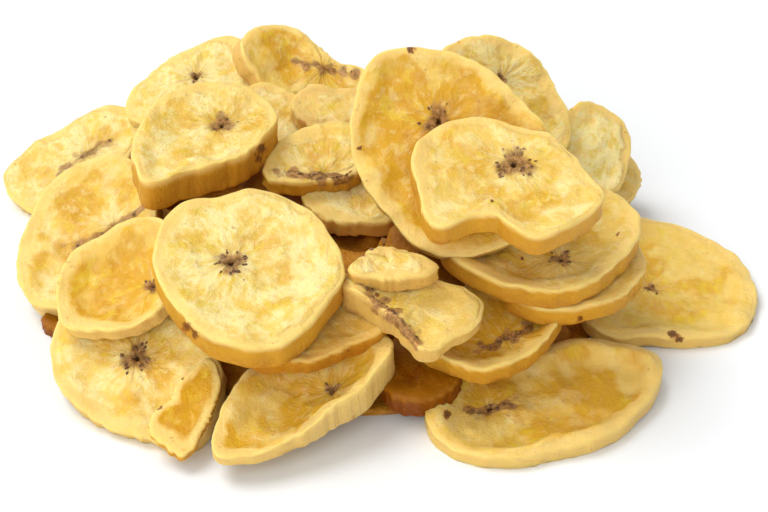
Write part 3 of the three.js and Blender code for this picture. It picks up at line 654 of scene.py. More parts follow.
# %% [markdown]
# ## Propping up what hangs
#
# A few slices lean over empty room: the plain solid carries them on short shafts, which a real heap
# doesn't have. Here small broken slices are tucked under them instead, and behind the ones that lean the
# steepest. Each is dropped somewhere under the slice it has to carry, and kept where it fits between what
# lies below and what lies above, out of sight from the front.

# %% Broken pieces under hanging slices
PROP_LOW = 10.5  # slices with their middle below this height are propped up as well
PROP_TRIES, PROP_RINGS = 36, 8
PROP_RADIUS, PROP_MORE = 4.6, 3.6  # the smallest radius, and how much larger a piece may be
PROP_FIRST, PROP_APART = 5000, 100  # the numbers that broken pieces start at, for one slice and the next
PROP_STEEP = 40  # slices that lean more than this are held up from behind as well
PROP_CLEAR = 0.8  # the share of its face that stays below the ceiling
PROP_SINK = 0.4  # how far a broken piece presses into what it rests on
PROP_SHARE = 0.7  # of the radius of what is propped up, the furthest that a piece lies from its middle


def broken_piece(n):
    """A small slice of uneven outline, with all its sizes drawn."""
    s = hidden_slice(n, True)
    s["length"] = PROP_RADIUS + PROP_MORE * draw(n, 21)
    s["width"] = s["length"] * (0.65 + 0.3 * draw(n, 22))
    s["thick"] = 3.2 + 1.4 * draw(n, 23)
    s["lobes"] = [(2, 0.1 * draw(n, 24), 360 * draw(n, 25)), (3, 0.12 * draw(n, 26), 360 * draw(n, 27))]
    s["name"] = f"broken_{n}"
    return s


def prop_up(target, others, first):
    """Drops broken pieces between the faces of what lies lower and the undersides of what lies higher."""
    ground = HeightMap(0)
    ceiling = HeightMap(np.inf)
    for s in others:
        if s["place"][2] < target["place"][2] and s is not target:
            lay(ground, s)
        else:
            ceiling.mark(sheet(s, -1, *SHEET) + s["place"], np.minimum)
    ceiling.z = np.where(np.isinf(ceiling.z), 0, ceiling.z)
    kept = []
    for n in range(first, first + PROP_TRIES):
        s = broken_piece(n)
        turn = 2 * math.pi * draw(n, 31)
        off = PROP_SHARE * float(np.mean(target["radii"])) * math.sqrt(draw(n, 32))
        x = target["place"][0] + off * math.cos(turn)
        y = target["place"][1] + off * math.sin(turn)
        at, over, fits = drop(ground, ceiling, s, x, y, PROP_RINGS, PROP_CLEAR)
        if fits and outline.in_front(over) < HIDDEN_SEEN:
            s["place"] = at - [0, 0, PROP_SINK]
            lay(ground, s)
            kept.append(s)
    return kept


broken = []
for number, s in enumerate(shown):
    if s["hangs"] or s["place"][2] < PROP_LOW or s["tilt"][0] > PROP_STEEP:
        broken += prop_up(s, shown + hidden + broken, PROP_FIRST + PROP_APART * number)
print(len(broken), "broken pieces tucked under them")

# %% [markdown]
# ## Moving onto the imported solid
#
# The imported solid has the middle of its box over the origin. The same shift is found here from the same
# coarse points, so that no number has to be copied, and the result is printed beside the solid's own box.

# %% The shift
COARSE_SHOWN = (18, (0.5, 0.93, 1))  # spokes, and the rings' shares of the radius
COARSE_HIDDEN = (11, (0.92, 1))


def coarse_points(s):
    """The points of the plain solid's slice, which has few spokes and rings."""
    spokes, shares = COARSE_HIDDEN if "length" in s else COARSE_SHOWN
    rings = [points_of(s, share, turns(spokes), side) for share in shares for side in (1, -1)]
    return np.concatenate(rings) + s["place"]


coarse = np.concatenate([coarse_points(s) for s in shown + hidden])
low_corner, high_corner = coarse.min(0), coarse.max(0)
SHIFT = -(low_corner + high_corner) / 2 * [1, 1, 0]
node_box = np.array(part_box(NODE)) / MM
print("coarse box", np.round(low_corner + SHIFT, 2), np.round(high_corner + SHIFT, 2))
print("solid's box", np.round(node_box[0], 2), np.round(node_box[1], 2))

# %% [markdown]
# ## Relief
#
# A dried slice isn't smooth: its rim dried first and stands up as a band of even width, on a few slices with
# a broad roll behind it. The middle sank and is lumpy where the starch clumped. Three thin walls of tissue
# and fine folds run out from the pith, and the side wall is creased. Sculpting would do it by hand and a
# displacement texture would not be part of the mesh, so the relief is added to the points themselves. The
# unevenness is a sum of plane waves in random directions, which is the simplest noise that numpy can make.

# %% Waves
WAVES, ROUND_WAVES = 14, 8  # how many waves are added up


def waves(x, y, seed, length):
    """Uneven swells of about this length: a sum of plane waves with drawn directions and starts, scaled so
    that most values lie between -1 and 1."""
    total = np.zeros(np.broadcast(x, y).shape)
    for k in range(WAVES):
        turn = 2 * math.pi * draw(seed, 40 + k)
        rate = 2 * math.pi / length * (0.7 + 0.6 * draw(seed, 80 + k))
        start = 2 * math.pi * draw(seed, 120 + k)
        total += np.cos(rate * (x * math.cos(turn) + y * math.sin(turn)) + start)
    return total / math.sqrt(WAVES)


def round_waves(theta, seed, per_turn):
    """The same along a circle: cosines with whole numbers of waves near per_turn."""
    total = np.zeros(np.shape(theta))
    for k in range(ROUND_WAVES):
        number = max(1, round(per_turn * (0.6 + 0.8 * draw(seed, 160 + k))))
        total += np.cos(number * theta + 2 * math.pi * draw(seed, 200 + k))
    return total / math.sqrt(ROUND_WAVES)


print("waves of 10 mm over 30 mm:", np.round(waves(np.arange(0, 31, 5), 0, 1, 10), 2))

# %% The section of a slice
EDGE = 1.8  # the last part of the face, where rings lie closer
SHOULDER = [(0.9, 0.0), (0.62, 0.01), (0.4, 0.05), (0.23, 0.12), (0.11, 0.24), (0.03, 0.42), (0.0, 0.62)]
SHOULDER_MOST = 0.62  # of half the thickness, the most that the shoulder takes on a thin slice
WALL = [0.75, 0.35, -0.05, -0.45, -0.85]  # rings of the wall, as shares of half the thickness
WAIST = 0.14  # how far the wall draws in at half height


def section(s, radius, face_rings, under_rings):
    """Share of the radius and height share (1 face, -1 underside) for each ring and spoke, from the middle
    of the face over a round shoulder, down the slightly waisted wall and back to the middle of the
    underside. The shoulder is as many millimetres wide on a small slice as on a large one."""
    half = s["thick"] / 2
    inner = (1 - EDGE / radius)[None, :]
    face = np.linspace(0, 1, face_rings + 1)[:, None] * inner
    under = np.linspace(1, 0, under_rings + 1)[:, None] * inner
    inset = np.array([d for d, _ in SHOULDER])
    down = np.minimum(np.array([d for _, d in SHOULDER]), SHOULDER_MOST * half)
    over = 1 - inset[:, None] / radius[None, :]
    waist = np.array([1 - WAIST * (1 - w * w) / np.mean(radius) for w in WALL])[:, None] * np.ones_like(inner)
    wall_t = np.array(WALL) * (1 - down[-1] / half)
    q = np.concatenate([face, over, waist, over[::-1], under])
    upper = np.concatenate([np.ones(len(face)), 1 - down / half])
    lower = np.concatenate([down[::-1] / half - 1, -np.ones(len(under))])
    t = np.concatenate([upper, wall_t, lower])
    return q, np.broadcast_to(t[:, None], q.shape)


print("the shoulder has", len(SHOULDER), "rings and the wall", len(WALL))

# %% Relief
RIDGE, RIDGE_AT, RIDGE_WIDE = 0.08, 1.0, 0.9  # height, and how far inside the rim, in millimetres
RIDGE_UNEVEN, RIDGE_WAVES = 0.3, 6
ROLL_AT, ROLL_WIDE = 3.2, 2.0  # a broad rolled rim, in millimetres inside the edge
ROLL_UNEVEN, ROLL_WAVES = 0.45, 3
HOLLOW, HOLLOW_FROM, HOLLOW_OVER = 0.4, 1.0, 5.0
HOLLOW_UNEVEN, HOLLOW_WAVES = 0.9, 5
PIT, PIT_WIDE = 0.9, 0.6
ARM, ARM_WIDE, ARM_LONG = 0.14, 0.5, 8.0
FOLD, FOLD_LONG, FOLD_COUNT = 0.07, 7.0, 13  # fine folds that run out from the pith
SWELLS = [(1, 0.3, 10), (2, 0.09, 5)]  # number of the draw, height and length of the waves
LUMPS = [(8, 0.055, 3), (9, 0.02, 1.3)]
CREASE, CREASE_COUNT = 0.12, 8  # broad creases down the wall, their depth and about how many
FINE_CREASE, FINE_COUNT, FINE_SLANT = 0.08, 32, 0.3
DENT, DENT_LONG = 0.14, 3.4
NICK, NICK_COUNT, NICK_WIDE = 0.11, 19, 1.5  # small nicks in the edge
SEED_MOUND, SEED_ROUND = 0.1, 0.5  # the pulp stands up a little round each seed
PULP_ROUND, BAND_WIDE = 1.6, 1.1  # how far the pulp reaches: a share of the seeds' spread, or millimetres
BAND_RAGGED, BAND_WAVE = 0.8, 3.5


def relief(s, q, theta, t, a, b):
    """Height and outward relief: rim ridge, rolled rim, sunken middle, lumps, arms, folds, the pit and the
    seeds' mounds, then the creases, dents and nicks of the wall."""
    seed = s["number"]
    radius = radius_at(s, theta)
    inset = (1 - q) * radius
    face = smooth((t - 0.2) / 0.8)
    flat_share = smooth((np.abs(t) - 0.6) / 0.4)
    uneven = 1 + RIDGE_UNEVEN * round_waves(theta, seed, RIDGE_WAVES)
    ridge = RIDGE * np.exp(-(((inset - RIDGE_AT) / RIDGE_WIDE) ** 2)) * uneven
    roll = s.get("roll", 0) * np.exp(-(((inset - ROLL_AT) / ROLL_WIDE) ** 2))
    roll *= 1 + ROLL_UNEVEN * round_waves(theta, seed + 12, ROLL_WAVES)
    shore = HOLLOW_FROM - HOLLOW_UNEVEN * round_waves(theta, seed + 7, HOLLOW_WAVES)
    sunk = smooth((inset - shore) / HOLLOW_OVER)
    hollow = -s.get("hollow", HOLLOW) * sunk
    calm = s.get("calm", 1)
    swells = calm * sum(high * waves(a, b, seed + k, long) for k, high, long in SWELLS)
    lumps = sum(high * waves(a, b, seed + k, long) for k, high, long in LUMPS)
    lumps *= calm * smooth((inset - 1.5) / 2)
    away, direction = from_pith(s, a, b)
    pit = -PIT * np.exp(-((away / PIT_WIDE) ** 2)) * s["open"]
    middle = pit - ARM * arm_share(s, a, b) + SEED_MOUND * near_seeds(s, a, b)
    folds = round_waves(direction, seed + 11, FOLD_COUNT) * smooth(away / 2)
    middle += FOLD * folds * (1 - smooth((away - 2) / FOLD_LONG)) * s["open"]
    raised = t * ridge * flat_share + face * (roll + hollow + middle + lumps)
    raised += swells * (0.25 + 0.75 * np.abs(t))
    creases = CREASE * round_waves(theta, seed + 4, CREASE_COUNT)
    creases += FINE_CREASE * round_waves(theta + FINE_SLANT * t, seed + 5, FINE_COUNT)
    dents = DENT * waves(radius * theta, half_height(s, t), seed + 10, DENT_LONG)
    nicks = NICK * round_waves(theta, seed + 6, NICK_COUNT) * smooth(NICK_WIDE - inset)
    return raised, (1 - flat_share) * (creases + dents * np.sin(theta / 2) ** 2) + nicks


def half_height(s, t):
    """Millimetres above the middle of the wall."""
    return t * s["thick"] / 2


def from_pith(s, a, b):
    """How far a place on the slice is from its pith, and in which direction it lies."""
    off_a = a - s["pith_at"][0]
    off_b = b - s["pith_at"][1]
    return np.hypot(off_a, off_b), np.arctan2(off_b, off_a)


def arm_share(s, a, b):
    """1 on the three thin walls of tissue that run out from the pith, fading at their sides and ends."""
    away, direction = from_pith(s, a, b)
    across = away * np.abs(np.sin(1.5 * (direction - s["pith_turn"])))
    fade = 1 - smooth((away - 0.35 * ARM_LONG) / (0.65 * ARM_LONG))
    return np.exp(-((across / ARM_WIDE) ** 2)) * fade * s["open"]


def pulp_share(s, a, b):
    """1 where the pulp round the seeds is, fading to 0: a disc round the pith, or a strip along the band."""
    if "band" in s:
        first, last = on_face(s, s["place"], np.array(s["band"], float))
        along = last - first
        share = ((a - first[0]) * along[0] + (b - first[1]) * along[1]) / (along @ along)
        share = np.clip(share, 0, 1)
        away = np.hypot(a - first[0] - share * along[0], b - first[1] - share * along[1])
        away += BAND_RAGGED * waves(a, b, s["number"] + 3, BAND_WAVE)
        return 1 - smooth(away / (2 * BAND_WIDE))
    away, direction = from_pith(s, a, b)
    lobes = 0.75 - 0.25 * np.cos(3 * (direction - s["pith_turn"]))
    return (1 - smooth(away / (PULP_ROUND * lobes * s["seeds"][1]))) * s["open"]


def near_seeds(s, a, b):
    """1 at a seed, falling off around it: the largest of exp(-(distance / SEED_ROUND)^2)."""
    near = np.zeros(np.shape(a))
    for seed_a, seed_b, *_ in s["seed_at"]:
        away = ((a - seed_a) ** 2 + (b - seed_b) ** 2) / SEED_ROUND**2
        near = np.maximum(near, np.exp(-away))
    return near


print("a rim ridge of", RIDGE, "mm, hollows of about", HOLLOW, "mm and creases of", CREASE, "mm")

# %% [markdown]
# ## From points to a mesh
#
# The grid of points becomes a closed mesh: rings of quads from the face over the wall to the underside,
# and a fan of triangles at either middle. Each vertex also carries three numbers under each of four names,
# because the finish follows the slice and not the room:
#
# - flat: millimetres from the pith along both axes of the slice, and the way along the section;
# - spots: how near it is to a seed and to a brown mark, and how much painted shade it gets where it lies
#   deep under the slices around;
# - tissue: how much it is pulp, how much it is a thin wall of tissue, and how pale the side wall is, partly
#   painted light;
# - mood: how chalky, how glassy and how tan the slice is, partly its own tone and partly painted light and
#   shade.
#
# Painted textures could say the same, but numbers on points need no unwrapping and follow any change.

# %% Faces, marks and depth
# Painted shade: the heap's top, blurred, is the lid, and a hidden slice is painted darker the further it lies
# under it.
LID_REACH = 4  # cells
MARK_ENDS = 2.05  # marks colour the face and the wall, and end just past the foot of the wall
LID_FREE, LID_DEEP = 0.5, 6.0  # millimetres that stay free, and over which colours deepen


def grid_faces(rings, spokes):
    """Corner numbers of a closed shell: quads between rings, and fans round the first and last point."""
    i = np.arange(spokes)
    after = (i + 1) % spokes
    first = 1 + np.arange(rings - 1)[:, None] * spokes
    quads = np.stack([first + i, first + spokes + i, first + spokes + after, first + after], -1)
    top = np.stack([np.zeros(spokes, int), 1 + i, 1 + after], -1)
    last = 1 + (rings - 1) * spokes
    bottom = np.stack([np.full(spokes, 1 + rings * spokes), last + after, last + i], -1)
    return quads.reshape(-1, 4), np.concatenate([top, bottom])


def mark_share(s, points, along):
    """1 in the middle of a brown mark, which is given by its pixel and its radius in pixels."""
    share = np.zeros(along.shape)
    seen = in_picture(points)
    for column, row, size in s.get("marks", ()):
        away = ((seen[..., 0] - column) ** 2 + (seen[..., 1] - row) ** 2) / size**2
        share = np.maximum(share, np.exp(-away) * (along < MARK_ENDS))
    return share


def blurred(z, reach):
    """Each cell of a map becomes the mean of the cells around it."""
    wide = np.pad(z, reach, mode="edge")
    size = 2 * reach + 1
    return sum(wide[j:j + NY, i:i + NX] for j in range(size) for i in range(size)) / size**2


lid = HeightMap(0)
lid.z = blurred(np.maximum(pile.z, low_pile.z), LID_REACH)


def painted_shade_share(s, points):
    """The share of painted shade: 0 where a hidden slice lies open, and up to 1 where the heap around it
    stands much higher. A slice that shows has one share all over, its shade value."""
    if "rim" in s:
        return np.full(points.shape[:-1], s.get("shade", 0.0))
    under = lid.height(points[..., 0], points[..., 1]) - points[..., 2]
    return smooth((under - LID_FREE) / LID_DEEP)


print("the map over hidden slices reaches", round(float(lid.z.max()), 1), "mm up")

# %% One slice as a mesh
FINE_DETAIL = (160, 34, 9)  # spokes, rings on the face and rings on the underside
LOW_DETAIL = (56, 9, 4)
BAND_SCALE = 10.0  # millimetres from the rim that count as one step along the section


def slice_arrays(s, spokes, face_rings, under_rings):
    """Points in millimetres with their place on the slice, and the faces between them."""
    around = turns(spokes)
    radius = radius_at(s, around)
    q, t = section(s, radius, face_rings, under_rings)
    theta = np.broadcast_to(around, q.shape)
    flat_a = q * radius * np.cos(theta)
    flat_b = q * radius * np.sin(theta)
    raised, outward = relief(s, q, theta, t, flat_a, flat_b)
    points = points_at(s, q, theta, t, raised, outward * (q > 0)) + s["place"]
    points[..., 2] = np.maximum(points[..., 2], 0)
    inset = np.minimum((1 - q) * radius / BAND_SCALE, 1)
    along = np.where(t >= 1, 1 - inset, np.where(t <= -1, 2 + inset, 1.5 - t / 2))
    flat = np.stack([flat_a - s["pith_at"][0], flat_b - s["pith_at"][1], along], -1)
    face = t > 0
    near = near_seeds(s, flat_a, flat_b) * face
    spots_and_shade = np.stack([near, mark_share(s, points, along), painted_shade_share(s, points)], -1)
    pulp = pulp_share(s, flat_a, flat_b) * face * s.get("faint", 1)
    arms = arm_share(s, flat_a, flat_b) * face
    tissue = np.stack([pulp, arms, np.full(q.shape, s.get("pale", 0.0))], -1)

    def shell(grid):
        return np.concatenate([grid[0, :1], grid[1:-1].reshape(-1, 3), grid[-1, :1]])

    quads, fans = grid_faces(len(q) - 2, spokes)
    return shell(points), shell(flat), shell(spots_and_shade), shell(tissue), quads, fans


def mesh_of(name, points, quads, fans):
    """A mesh from arrays: corners of the quads, then of the triangles."""
    mesh = bpy.data.meshes.new(name)
    mesh.vertices.add(len(points))
    mesh.vertices.foreach_set("co", ((points + SHIFT) * MM).astype(np.float32).ravel())
    mesh.loops.add(quads.size + fans.size)
    mesh.loops.foreach_set("vertex_index", np.concatenate([quads.ravel(), fans.ravel()]).astype(np.int32))
    sizes = np.concatenate([np.full(len(quads), 4), np.full(len(fans), 3)])
    mesh.polygons.add(len(sizes))
    mesh.polygons.foreach_set("loop_start", (np.cumsum(sizes) - sizes).astype(np.int32))
    mesh.polygons.foreach_set("use_smooth", np.ones(len(sizes), bool))
    mesh.update(calc_edges=True)
    mesh.validate()
    return mesh


def add_vectors(mesh, name, values):
    """Three numbers for each vertex, under a name that a shader can read."""
    layer = mesh.attributes.new(name, "FLOAT_VECTOR", "POINT")
    layer.data.foreach_set("vector", values.astype(np.float32).ravel())


def linked(name, data):
    """A new object in the scene, made of a mesh, a light or a camera."""
    obj = bpy.data.objects.new(name, data)
    bpy.context.scene.collection.objects.link(obj)
    return obj


def piece(name, mesh):
    """An object of this mesh that rides on the heap."""
    obj = linked(name, mesh)
    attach(obj, "root")
    return obj


def slice_object(name, slices, detail):
    """One object of one or more slices, each a closed shell of its own."""
    made = []
    count = 0
    for s in slices:
        points, flat, spots_and_shade, tissue, quads, fans = slice_arrays(s, *detail)
        mood = np.tile(s["mood"], (len(points), 1))
        made.append((points, flat, spots_and_shade, tissue, mood, quads + count, fans + count))
        count += len(points)
    points, flat, spots_and_shade, tissue, mood, quads, fans = (np.concatenate(part) for part in zip(*made))
    mesh = mesh_of(name, points, quads, fans)
    add_vectors(mesh, "flat", flat)
    add_vectors(mesh, "spots_and_shade", spots_and_shade)
    add_vectors(mesh, "tissue", tissue)
    add_vectors(mesh, "mood", mood)
    return piece(name, mesh)


print("a fine slice has", FINE_DETAIL[0], "spokes and a hidden one", LOW_DETAIL[0])

# %% Seeds' places, moods and all slices
NUMBERS_APART = 40  # the numbers for the draws of two slices lie this far apart
BATCH = 12  # hidden slices that are joined in one object


def seed_places(s):
    """Places on the face: along a band between two seen points, or on three arms from the pith."""
    count, spread = s["seeds"]
    n = s["number"]
    places = []
    ends = on_face(s, s["place"], np.array(s["band"], float)) if "band" in s else None
    for k in range(count):
        arm = s["pith_turn"] + math.pi / 3 + 2 * math.pi / 3 * (k % 3) + 1.5 * (draw(n + k, 301) - 0.5)
        if ends is None:
            reach = spread * (0.35 + 0.65 * draw(n + k, 302))
            a, b = s["pith_at"] + reach * np.array([math.cos(arm), math.sin(arm)])
        else:
            share = (k + draw(n + k, 302)) / count
            a, b = ends[0] * (1 - share) + ends[1] * share
            a += spread * (draw(n + k, 304) - 0.5)
            b += spread * (draw(n + k, 305) - 0.5)
        places.append((a, b, arm, k))
    return places


def dress(s, number):
    """Gives a slice the seed of its draws, where its pith is, how open that is, and its mood."""
    s["number"] = number
    s["pith_turn"] = math.radians(s["arms"]) if "arms" in s else 2 * math.pi * draw(number, 5)
    if "pith" in s:
        s["pith_at"] = on_face(s, s["place"], np.array([s["pith"]], float))[0]
    else:
        s["pith_at"] = np.array([2 * draw(number, 6) - 1, 2 * draw(number, 7) - 1])
        s["seeds"] = (int(14 * draw(number, 8)), 3 + 1.5 * draw(number, 9))
        s["mood"] = (0.3 + 0.5 * draw(number, 10), 0.3 + 0.5 * draw(number, 11), 0.2 + 0.5 * draw(number, 15))
    s["open"] = 1.0 if s["seeds"][0] and "band" not in s else 0.0
    s["seed_at"] = seed_places(s)


for number, s in enumerate(shown + hidden + broken):
    dress(s, NUMBERS_APART * (number + 1))

chips = [slice_object(f"chip_{s['name']}", [s], FINE_DETAIL) for s in shown]
for start in range(0, len(hidden), BATCH):
    chips.append(slice_object(f"chips_below_{start // BATCH}", hidden[start:start + BATCH], LOW_DETAIL))
if broken:
    chips.append(slice_object("chips_broken", broken, LOW_DETAIL))
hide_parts(NODE)
print(len(chips), "objects of slices,", sum(len(o.data.vertices) for o in chips), "points")

# %% [markdown]
# ## Seeds
#
# Round the pith of a banana sit rows of tiny dark seeds, a few on each of three arms. They could be
# painted on, but they stand a little proud of the dried flesh, so each one is a small egg of mesh with its
# lower half sunk, and all of them are joined in one object.

# %% Seeds as small eggs
SEED_LONG, SEED_WIDE = 0.36, 0.24  # half its length and half its width
SEED_SPOKES, SEED_RINGS = 7, 4
SEED_STEP = 0.3  # how far away the face is looked at to find how a seed lies
SEED_SUNK = 0.03  # how far its middle lies under the face
SEED_FLAT, SEED_DENT = 0.8, 0.22  # its height as a share of its width, and how dented it is
SEED_LEAST, SEED_MORE = 0.5, 0.8  # the sizes of seeds, as shares


def face_point(s, a, b):
    """The point of the face at a place on the slice's own axes, with the relief that it has there."""
    theta = np.array([math.atan2(b, a)])
    q = np.minimum(np.hypot(a, b) / radius_at(s, theta), 0.9)
    raised, outward = relief(s, q, theta, np.ones(1), np.array([a]), np.array([b]))
    return points_at(s, q, theta, np.ones(1), raised, outward)[0] + s["place"]


def egg(centre, along, out, long, wide, n):
    """An egg on its side: rings of a sphere stretched along one axis, flattened across the face and a
    little dented."""
    side = np.cross(out, along)
    lap = np.linspace(0, math.pi, SEED_RINGS + 2)[1:-1, None]
    turn = turns(SEED_SPOKES)[None, :]
    dent = 1 + SEED_DENT * np.cos(2 * turn + 3 * lap + 6 * draw(n, 306))
    x = np.cos(lap) * np.ones_like(turn) * long
    y = np.sin(lap) * np.cos(turn) * wide * dent
    z = np.sin(lap) * np.sin(turn) * wide * SEED_FLAT * dent
    ring = (x[..., None] * along + y[..., None] * side + z[..., None] * out).reshape(-1, 3)
    return np.concatenate([[along * long], ring, [-along * long]]) + centre


def seeds_object(slices):
    """All seeds in one mesh. Each lies along its arm, on the face as found by looking a step away."""
    made = []
    quads, fans = grid_faces(SEED_RINGS, SEED_SPOKES)
    count = 0
    for s in slices:
        for a, b, arm, k in s["seed_at"]:
            here = face_point(s, a, b)
            step_a = SEED_STEP * math.cos(arm)
            step_b = SEED_STEP * math.sin(arm)
            ahead = face_point(s, a + step_a, b + step_b) - here
            beside = face_point(s, a - step_b, b + step_a) - here
            out = np.cross(ahead, beside)
            out /= np.linalg.norm(out)
            along = ahead / np.linalg.norm(ahead)
            n = s["number"] + k
            size = SEED_LEAST + SEED_MORE * draw(n, 303) ** 1.5
            points = egg(here - SEED_SUNK * out, along, out, SEED_LONG * size, SEED_WIDE * size, n)
            made.append((points, quads + count, fans + count))
            count += len(points)
    points, quads, fans = (np.concatenate(part) for part in zip(*made))
    return piece("seeds", mesh_of("seeds", points, quads, fans))


seeds = seeds_object(shown + hidden)
print("seed mesh:", len(seeds.data.polygons), "faces")

# %% [markdown]
# ## The core
#
# Deep between the slices the eye meets more banana in brown shadow. The solid has a low dome there, below
# every slice that shows. The same dome is made here with uneven swells, a little lower, so that a gap ends
# on something and no light falls through the heap. Its deep amber brown is painted shade, the colour that
# banana has where little light reaches it.

# %% The core as a low dome
CORE = dict(share=0.76, height=28.0, under=1.5, look=4.0)  # the same as in the solid
CORE_RINGS, CORE_SPOKES = 40, 120
CORE_LOWER, CORE_LEAST = 1.2, 0.6  # how far it lies under the solid's dome, and its least height
CORE_SWELL, CORE_WAVE, CORE_SEED = 0.8, 7, 900


def core_object():
    """Height falls with the root of 1 - share^2 from the middle, and keeps under the roof all around."""
    share = np.linspace(1 / CORE_RINGS, 1, CORE_RINGS)[:, None]
    theta = turns(CORE_SPOKES)[None, :]
    x = MOUND["x"] + MOUND["rx"] * CORE["share"] * share * np.cos(theta)
    y = MOUND["y"] + MOUND["ry"] * CORE["share"] * share * np.sin(theta)
    z = CORE["height"] * np.sqrt(np.maximum(0, 1 - share * share)) * np.ones_like(theta)
    for dx in (-CORE["look"], 0, CORE["look"]):
        for dy in (-CORE["look"], 0, CORE["look"]):
            z = np.minimum(z, roof.height(x + dx, y + dy) - CORE["under"])
    z = np.maximum(z - CORE_LOWER + CORE_SWELL * waves(x, y, CORE_SEED, CORE_WAVE), CORE_LEAST)
    z[-1] = 0
    rings = np.stack([x, y, z], -1)
    middle = rings[0].mean(0)
    foot = np.array([MOUND["x"], MOUND["y"], 0.0])
    points = np.concatenate([[middle], rings.reshape(-1, 3), [foot]])
    quads, fans = grid_faces(CORE_RINGS, CORE_SPOKES)
    return piece("core", mesh_of("core", points, quads, fans))


core = core_object()
print("the core has", len(core.data.polygons), "faces")

# %% [markdown]
# ## Writing shaders as sums
#
# A finish is a picture drawn by formulas. Wired by hand, a formula of ten terms is a maze of Math nodes,
# so a small class wraps a socket and lets Python's own operators add the nodes.

# %% A socket that can be added and multiplied
def colour(red, green, blue):
    """A screen colour, each part from 0 to 255, as the linear colour that shaders use."""
    parts = np.array([red, green, blue]) / 255
    linear = np.where(parts <= 0.04045, parts / 12.92, ((parts + 0.055) / 1.055) ** 2.4)
    return (*linear.tolist(), 1.0)


class Wire:
    """The output of a node. Sums and products with numbers or other wires add a Math node each."""

    def __init__(self, shader, socket):
        self.shader = shader
        self.socket = socket

    def math(self, operation, first, second=0.0):
        """A Math node of this operation."""
        return self.shader.node("ShaderNodeMath", {"operation": operation}, {0: first, 1: second})

    def __add__(self, other):
        return self.math("ADD", self, other)

    def __radd__(self, other):
        return self.math("ADD", other, self)

    def __sub__(self, other):
        return self.math("SUBTRACT", self, other)

    def __rsub__(self, other):
        return self.math("SUBTRACT", other, self)

    def __mul__(self, other):
        return self.math("MULTIPLY", self, other)

    def __rmul__(self, other):
        return self.math("MULTIPLY", other, self)


class Shader:
    """A material's node tree, with one method that makes any node."""

    def __init__(self, name):
        self.material = bpy.data.materials.new(name)
        self.material.use_nodes = True
        self.tree = self.material.node_tree
        self.tree.nodes.clear()

    def node(self, kind, settings, sockets, output=0):
        """A node of this kind: its settings first, then a number, colour or wire for each socket."""
        made = self.tree.nodes.new(kind)
        for key, value in settings.items():
            setattr(made, key, value)
        for key, value in sockets.items():
            if isinstance(value, Wire):
                self.tree.links.new(value.socket, made.inputs[key])
            else:
                made.inputs[key].default_value = value
        return Wire(self, made.outputs[output]) if made.outputs else None

    def mix(self, share, first, second):
        """One colour where share is 0, the other where it is 1."""
        return self.node("ShaderNodeMix", {"data_type": "RGBA"}, {0: share, 6: first, 7: second}, 2)

    def rise(self, value, start, end):
        """0 before start and 1 after end, smooth between."""
        settings = {"interpolation_type": "SMOOTHSTEP"}
        return self.node("ShaderNodeMapRange", settings, {0: value, 1: start, 2: end, 3: 0.0, 4: 1.0})

    def noise(self, place, size, detail=3.0, rough=0.5):
        """Clouds about as large as size, from 0 to 1. Place is in millimetres."""
        sockets = {"Vector": place, "Scale": 1 / size, "Detail": detail, "Roughness": rough}
        return self.node("ShaderNodeTexNoise", {}, sockets)

    def millimetres(self):
        """The place of each point, in millimetres."""
        place = self.node("ShaderNodeTexCoord", {}, {}, 3)
        return self.vector("SCALE", {0: place, 3: 1 / MM})

    def carried(self, name):
        """The three numbers that the points carry under this name."""
        return self.parts(self.node("ShaderNodeAttribute", {"attribute_name": name}, {}, 1))

    def vector(self, operation, sockets, output=0):
        """A Vector Math node."""
        return self.node("ShaderNodeVectorMath", {"operation": operation}, sockets, output)

    def parts(self, vector):
        """The three numbers of a vector."""
        made = self.node("ShaderNodeSeparateXYZ", {}, {0: vector}).socket.node
        return [Wire(self, made.outputs[k]) for k in range(3)]

    def finish(self, colour_wire, roughness, bump, distance, **constants):
        """The surface: colour, roughness and bump vary, everything else is set on the shader itself."""
        normal = self.node("ShaderNodeBump", {}, {"Strength": 1.0, "Distance": distance, "Height": bump})
        sockets = {"Base Color": colour_wire, "Roughness": roughness, "Normal": normal, **constants}
        surface = self.node("ShaderNodeBsdfPrincipled", {}, sockets)
        self.node("ShaderNodeOutputMaterial", {}, {"Surface": surface})
        return self.material


print("a screen grey of 128 is", round(colour(128, 128, 128)[0], 3), "in linear light")

# %% [markdown]
# ## The finish of a slice
#
# Dried banana is pale and chalky where the starch has clumped, and glassy golden where the sugar has set.
# Pale flecks and streaks run out from the pith as the fibres do, the more so on a chalky slice. The rim band
# is smooth and pale, the side wall is golden and browner towards its foot, and round the seeds the flesh is
# a pinkish brown. A photograph of a slice would show this too, but would repeat on every one. Here all of it
# follows the slice, so the shader reads the place that each vertex carries: millimetres from the pith, and
# the way along the section, from below 1 on the face over 1 at its edge and 2 at the foot of the wall to
# more on the underside.

# %% Colours
CHALK = colour(244, 227, 162)
CREAM = colour(236, 202, 104)
LEMON = colour(230, 200, 62)
GOLD = colour(214, 160, 20)
AMBER = colour(206, 144, 12)
RIM = colour(242, 215, 136)
TAN = colour(226, 190, 118)
WALL_GOLD = colour(210, 152, 22)
WALL_DEEP = colour(190, 126, 8)
RUST = colour(140, 72, 18)
PULP = colour(186, 136, 88)
PULP_DARK = colour(126, 82, 46)
SPECK = colour(74, 40, 18)
# Painted shade: the pale and the dark end of the tint that deepens a slice in a gap.
SHADE = colour(236, 194, 84)
PAINTED_SHADE_DARK = colour(156, 112, 12)
SEED_DARK = colour(104, 70, 44)
SEED_LIGHT = colour(160, 122, 84)
# Painted shade: the core's two browns.
CORE_SHADE_PALE = colour(200, 136, 24)
CORE_SHADE_DARK = colour(168, 104, 10)
print("the chalk's red, green and blue in linear light:", [round(part, 2) for part in CHALK[:3]])

# %% The finish of a slice
RELIEF_DEEP = 0.0007  # metres of bump for one step of its height
GLOW_DEEP = 0.0018  # metres that red light travels inside


